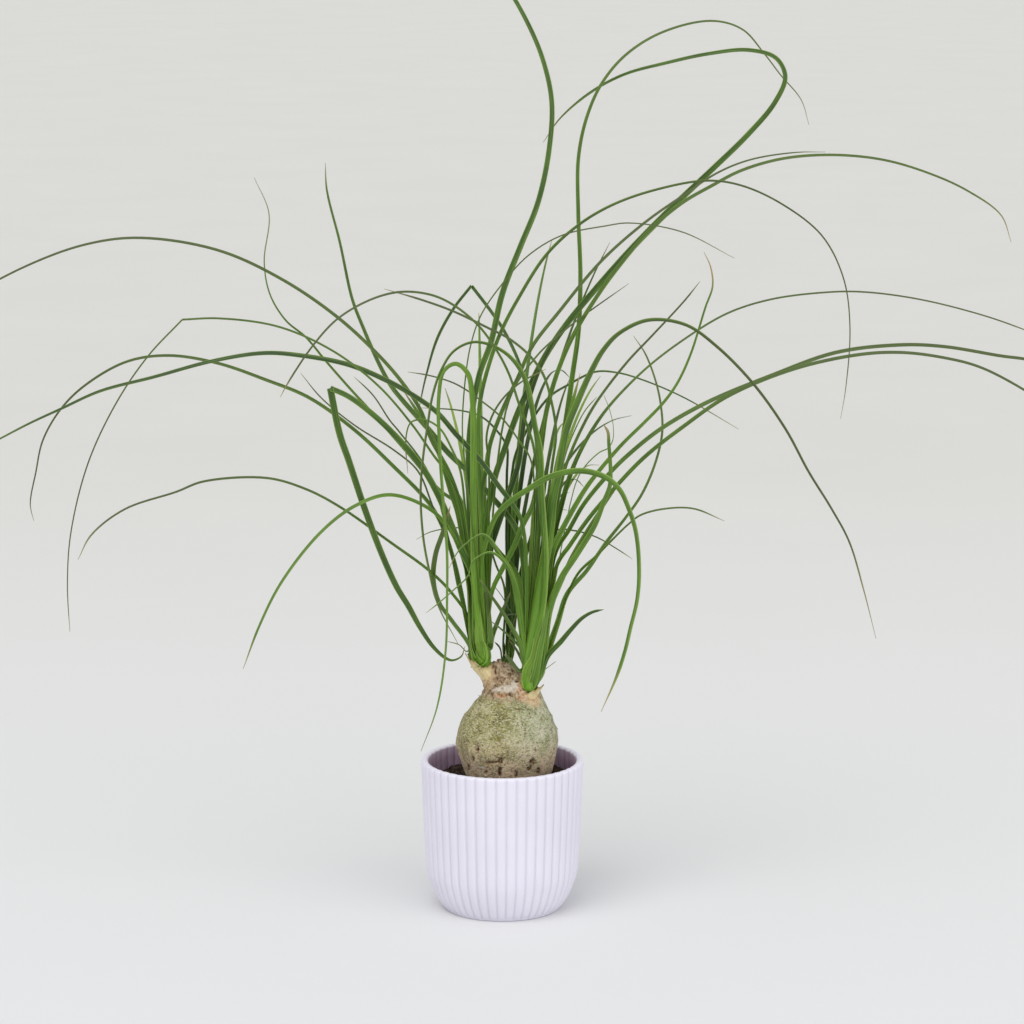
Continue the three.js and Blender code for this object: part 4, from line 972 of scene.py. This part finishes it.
def make_sheath(side, crown, material):
    """Sheath: dry leaf bases that overlap round a crown's foot, each with its own ragged point."""
    skin = Skin()
    draw = random_from(SHEATH_SEED + len(side))
    heading, tallest, lowest = SHEATH_TOPS[side]
    for scale in range(SCALES):
        turn = 2 * math.pi * scale / SCALES + 0.3 * next(draw)
        half_angle = 0.5 + 0.15 * next(draw)
        low = -SHEATH_DEPTH - 5 + 4 * next(draw)
        lean = max(0.0, math.cos(turn - math.radians(heading))) ** 1.5
        high = lowest + (tallest - lowest) * lean + 1.6 * (next(draw) - 0.5)
        lift = 0.4 + 0.9 * (scale % 3) / 3
        flare = 0.1 + 0.7 * next(draw) ** 2
        shape = (turn, half_angle, low, high, lift, flare)
        outer, inner = (scale_rows(skin, crown, scale, shape, layer) for layer in (SCALE_THICKNESS, 0.0))
        skin.grid(outer)
        skin.grid([list(reversed(row)) for row in inner])
        skin.grid([edge_of(inner), edge_of(outer)])
        skin.grid([outer[0], inner[0]])
    skin.build("dry_leaf_bases_" + side, material, "dry_sheath", "leaf_sheath_" + side)


def scale_rows(skin, crown, scale, shape, layer):
    """Rows of points of one face of a dry leaf base, at a layer's distance out from its inner face."""
    seat, axis = crown_frame(crown)
    below = (Vector(crown["start"]) - seat).normalized()
    turn, half_angle, low, high, lift, flare = shape
    rows = []
    for step in range(SCALE_STEPS + 1):
        t = step / SCALE_STEPS
        height = low + (high - low) * t
        middle = seat + (axis if height > 0 else -below) * height
        wide = float(np.interp(height, SHEATH_HEIGHTS, SHEATH_SHARES)) * crown["foot"]
        narrow = half_angle * (1 - 0.8 * smooth(0.6, 1.0, t)) * (0.45 + 0.55 * smooth(-0.1, 0.3, t))
        row = []
        for k in range(2 * SCALE_HALF_STEPS + 1):
            share = (k - SCALE_HALF_STEPS) / SCALE_HALF_STEPS
            angle = turn + narrow * share + 0.06 * noise.noise(Vector((t * 4, k * 0.7, scale)))
            curl = 0.25 * noise.noise(Vector((t * 6, k * 0.5, scale + 20)))
            r = wide + lift + layer + curl + flare * t**3 - 0.25 * share * share
            place = (middle + spoke(axis, angle) * r) * MM
            row.append(skin.point(place, (share * 4, height), along=t))
        rows.append(row)
    return rows


def edge_of(rows):
    """The edge of a patch of rows, up its first side, along its top and down its last side."""
    return [row[0] for row in rows] + rows[-1][1:] + [row[-1] for row in reversed(rows[:-1])]


def from_view(across, up, depth):
    """A point as it looks from the front, moved along its line of sight to a depth, in millimetres."""
    eye = EYE / MM
    stretch = 1 + depth / -eye.y
    return Vector((eye.x + (across - eye.x) * stretch, depth, eye.z + (up - eye.z) * stretch))


def as_seen(place):
    """Across and up at which a point looks to be from the front, in the plane of the leaf points."""
    eye = EYE / MM
    stretch = 1 + place.y / -eye.y
    return eye.x + (place.x - eye.x) / stretch, eye.z + (place.z - eye.z) / stretch


def through(values, share):
    """A value that passes through three others at the start, half way and at the end."""
    start, half, end = values
    rest = 1 - share
    return start * rest * (1 - 2 * share) + 4 * half * share * rest + end * share * (2 * share - 1)


def leaf_points(leaf):
    """A leaf row's points in space."""
    _, _, depths, _, _, points = leaf
    lengths = [0.0]
    for before, after in zip(points, points[1:]):
        lengths.append(lengths[-1] + math.dist(before, after))
    shares = [length / lengths[-1] for length in lengths]
    return [from_view(*point, through(depths, share)) for point, share in zip(points, shares)]


def root_points(crown, points):
    """The points at which a leaf is rooted, and the way that it heads off from its crown's middle."""
    seat, axis = crown_frame(crown)
    heading = points[0].lerp(points[len(points) // 3], 0.5) - seat
    heading -= axis * heading.dot(axis)
    heading.normalize()
    roots = []
    for height, share, power in ROOTS:
        out = share * crown["draw_in"] ** power
        roots.append(seat + axis * height + heading * out * crown["foot"])
    return roots, heading


def curve_at(points, share):
    """Place and direction on the smooth curve through the points, spaced by the root of distance."""
    run = share * (len(points) - 1)
    k = min(int(run), len(points) - 2)
    t = run - k
    p1, p2 = points[k], points[k + 1]
    p0 = points[k - 1] if k else 2 * p1 - p2
    p3 = points[k + 2] if k + 2 < len(points) else 2 * p2 - p1
    d0, d1, d2 = (max((b - a).length ** 0.5, 1e-4) for a, b in ((p0, p1), (p1, p2), (p2, p3)))
    m1 = ((p1 - p0) / d0 - (p2 - p0) / (d0 + d1) + (p2 - p1) / d1) * d1
    m2 = ((p2 - p1) / d1 - (p3 - p1) / (d1 + d2) + (p3 - p2) / d2) * d1
    c2 = 3 * (p2 - p1) - 2 * m1 - m2
    c3 = 2 * (p1 - p2) + m1 + m2
    return p1 + m1 * t + c2 * t**2 + c3 * t**3, (m1 + 2 * c2 * t + 3 * c3 * t**2).normalized()


def turned(vector, axis, angle):
    return Matrix.Rotation(angle, 3, axis) @ vector


def first_face(stations, roll):
    """The way that a blade's upper face looks at its start: to the outer side of the arch, then
    rolled towards the eye."""
    places = [place for place, _ in stations]
    start = stations[0][1]
    bulge = places[(len(places) - 1) // 2] - (places[0] + places[-1]) / 2
    outward = (bulge - start * bulge.dot(start)).normalized()
    beside = start.cross(outward)
    turn = math.radians(roll) * (1 if beside.y < 0 else -1)
    return outward * math.cos(turn) + beside * math.sin(turn)


def add_blade(skin, points, widths, roll, draw, inward=None, shade=None, stretch=WHOLE):
    """One channelled blade along a curve. Its upper face is carried along the curve; where the blade
    has an inward way, its foot turns to that way to clasp the crown. The stretch is the share of the
    whole leaf that this blade makes."""
    tint = next(draw) if shade is None else shade
    dry = next(draw)
    sway = SWAY * (next(draw) - 0.5)
    spans = max(len(points) * STATIONS_PER_POINT, FEWEST_STATIONS)
    stations = [curve_at(points, i / spans) for i in range(spans + 1)]
    normal = first_face(stations, roll)
    last, start = stations[0]
    unwind = 0.0
    if inward is not None:
        flat = (inward - start * inward.dot(start)).normalized()
        unwind = math.atan2(start.dot(normal.cross(flat)), normal.dot(flat))
    length = 0.0
    rings = []
    for i, (place, along) in enumerate(stations):
        share = i / spans
        length += (place - last).length
        last = place
        normal = (normal - along * normal.dot(along)).normalized()
        clasp = 0.0 if inward is None else 1 - smooth(0.0, CLASP_SHARE, share)
        face = turned(normal, along, unwind * clasp + sway * math.sin(3.0 * share + tint * 6))
        side = along.cross(face)
        width = float(np.interp(share, WIDTH_SHARES, widths))
        channel = CHANNEL * (1 - CHANNEL_FADE * share) + CLASP_CHANNEL * clasp
        thick = BLADE_THICKNESS + KEEL_SHARE * width
        run = stretch[0] + (stretch[1] - stretch[0]) * share
        ring = []
        for layer, across in BLADE_RING:
            rise = channel * (abs(across) ** CHANNEL_POWER - CHANNEL_SINK) * width / 2
            under = layer * thick * (1 - EDGE_THINNING * abs(across))
            there = (place + side * (across * width / 2) + face * (rise - under)) * MM
            uv = (across * width / 2, length)
            ring.append(skin.point(there, uv, along=run, across=float(across), tint=tint, dry=dry))
        rings.append(list(reversed(ring)))
    skin.loft(rings)


def fill_points(crown, fill, draw):
    """A leaf placed by rule: it rises from the crown, leans out along its heading and droops."""
    seat, _ = crown_frame(crown)

    def between(limits):
        return limits[0] + (limits[1] - limits[0]) * next(draw)

    heading = math.radians(between(fill["heading"]))
    rise = between(fill["rise"])
    reach = between(fill["reach"])
    droop = 0.15 + 0.75 * next(draw)
    points = []
    for share in FILL_SHARES:
        out = FILL_START + reach * share**1.7
        height = rise * (1.55 * share - droop * share**3)
        points.append(seat + polar(out, heading, FILL_LIFT + height))
    return points


def make_crown(side, leaves, folded, material, slot):
    """Crown: every leaf of one head, rooted round its foot."""
    crown, fill = CROWNS[side], FILL[side]
    skin = Skin()
    draw = random_from(BLADE_SEED + fill["seed"])

    def rooted(points, widths, roll, shade=None, stretch=WHOLE):
        roots, heading = root_points(crown, points)
        widths = [ROOT_SHARE * widths[0], *widths]
        add_blade(skin, roots + points, widths, roll, draw, -heading, shade, stretch)

    for leaf in leaves + SMALL_LEAVES[side]:
        name, widths, _, roll, shade, _ = leaf
        stretch = DRY_ALL_ALONG if name.startswith("dry") else (0.0, DRY_ENDS.get(name, 1.0))
        rooted(leaf_points(leaf), [*widths, TIP_WIDTH], roll, shade, stretch)
    for rising, hanging in folded:
        _, widths, _, roll, shade, _ = rising
        drawn = next(draw)
        shade = drawn if shade is None else shade
        rooted(leaf_points(rising), [*widths, widths[2]], roll, shade, RISING_STRETCH)
        _, widths, _, roll, _, _ = hanging
        widths = [widths[0], *widths, TIP_WIDTH]
        add_blade(skin, leaf_points(hanging), widths, roll, draw, None, shade, HANGING_STRETCH)
    fillers = random_from(fill["seed"])
    for _ in range(fill["count"]):
        rooted(fill_points(crown, fill, fillers), FILL_WIDTHS, 0)
    add_foot(skin, crown)
    skin.build("leaves_" + side, material, slot, "leaf_crown_" + side)


def add_foot(skin, crown):
    """The foot of a crown: leaf bases packed round one another, fluted along their edges."""
    seat, axis = crown_frame(crown)
    rings = []
    for rise, share in [(0, SEAT_SHARE * crown["draw_in"]), *FOOT_RINGS]:
        height, radius = rise * FOOT_RISE, share * crown["foot"]
        ring = []
        for angle in turns(FOOT_SIDES):
            flute = 0.9 * abs(math.sin(5.5 * angle + 0.05 * height)) + 0.3 * math.sin(13 * angle)
            place = (seat + axis * height + spoke(axis, angle) * (radius - 1.4 + flute)) * MM
            ring.append(skin.point(place, (angle * 8, height), **FOOT_LOOK))
        rings.append(ring)
    skin.loft(rings)


def make_camera():
    """The camera stands where the photograph was taken from, and looks slightly down."""
    scene = bpy.context.scene
    data = bpy.data.cameras.new("camera")
    data.lens = LENS
    data.sensor_width = SENSOR
    data.clip_end = VIEW_DEPTH
    camera = bpy.data.objects.new("camera", data)
    camera.location = EYE
    camera.rotation_euler = (math.radians(90 - PITCH_DOWN), 0, 0)
    scene.collection.objects.link(camera)
    scene.camera = camera


def make_floor():
    """A plain pale floor, a little lighter under the pot than far behind it."""
    n = Nodes("floor")
    place = n.place()
    depth = n.make("ShaderNodeSeparateXYZ", Vector=place).outputs["Y"]
    near = n.ramp(n.plus(n.times(depth, 0.1), 0.03), (0.0, 1.0), (0.25, 0.0))
    far_off = n.ramp(n.noise(place, 3.0, 2.0), (0.3, rgb(214, 213, 208)), (0.7, rgb(216, 215, 210)))
    corners = [(x * FLOOR_REACH, y * FLOOR_REACH, 0) for x, y in ((-1, -1), (1, -1), (1, 1), (-1, 1))]
    plane = new_piece("floor", corners, [(0, 1, 2, 3)])
    colour = n.mix(near, far_off, rgb(226, 227, 227))
    plane.data.materials.append(n.finish(colour, roughness=0.9, specular=0.1))


def soft_sun(name, source, spread, power, colour):
    """Even light that comes from the way of source, with a spread in degrees that softens shadows."""
    light = bpy.data.lights.new(name, "SUN")
    light.angle = math.radians(spread)
    light.energy = power
    light.color = colour
    lamp = bpy.data.objects.new(name, light)
    lamp.rotation_euler = Vector(source).to_track_quat("Z", "Y").to_euler()
    bpy.context.scene.collection.objects.link(lamp)


def make_light():
    """Soft studio light: a pale even surround, and two broad suns from the front."""
    scene = bpy.context.scene
    world = bpy.data.worlds.new("studio")
    world.use_nodes = True
    background = world.node_tree.nodes["Background"]
    background.inputs["Color"].default_value = rgb(246, 248, 252)
    background.inputs["Strength"].default_value = SURROUND
    scene.world = world
    scene.view_settings.view_transform = "Standard"
    soft_sun("key", source=(-0.45, -0.8, 1.25), spread=45, power=1.2, colour=(1.0, 0.985, 0.96))
    soft_sun("fill", source=(0.8, -0.9, 0.6), spread=60, power=0.8, colour=(1.0, 0.99, 0.98))


make_camera()
make_floor()
make_light()
make_pot()
make_soil()
make_trunk()
sheath = dry_leaf_material()
for side_name, side_crown in CROWNS.items():
    make_sheath(side_name, side_crown, sheath)
green_leaf = leaf_material("leaf", rgb(34, 66, 24), rgb(101, 143, 40), rgb(142, 178, 54))
# Painted shade: the back crown gets a darker copy of the leaf material.
dark_leaf = leaf_material("dark_leaf", rgb(36, 68, 28), rgb(56, 96, 34), rgb(86, 126, 42))
make_crown("left", LEFT_LEAVES, LEFT_FOLDED, green_leaf, "leaf")
make_crown("right", RIGHT_LEAVES, RIGHT_FOLDED, green_leaf, "leaf")
make_crown("back", BACK_LEAVES, [], dark_leaf, "dark_leaf")
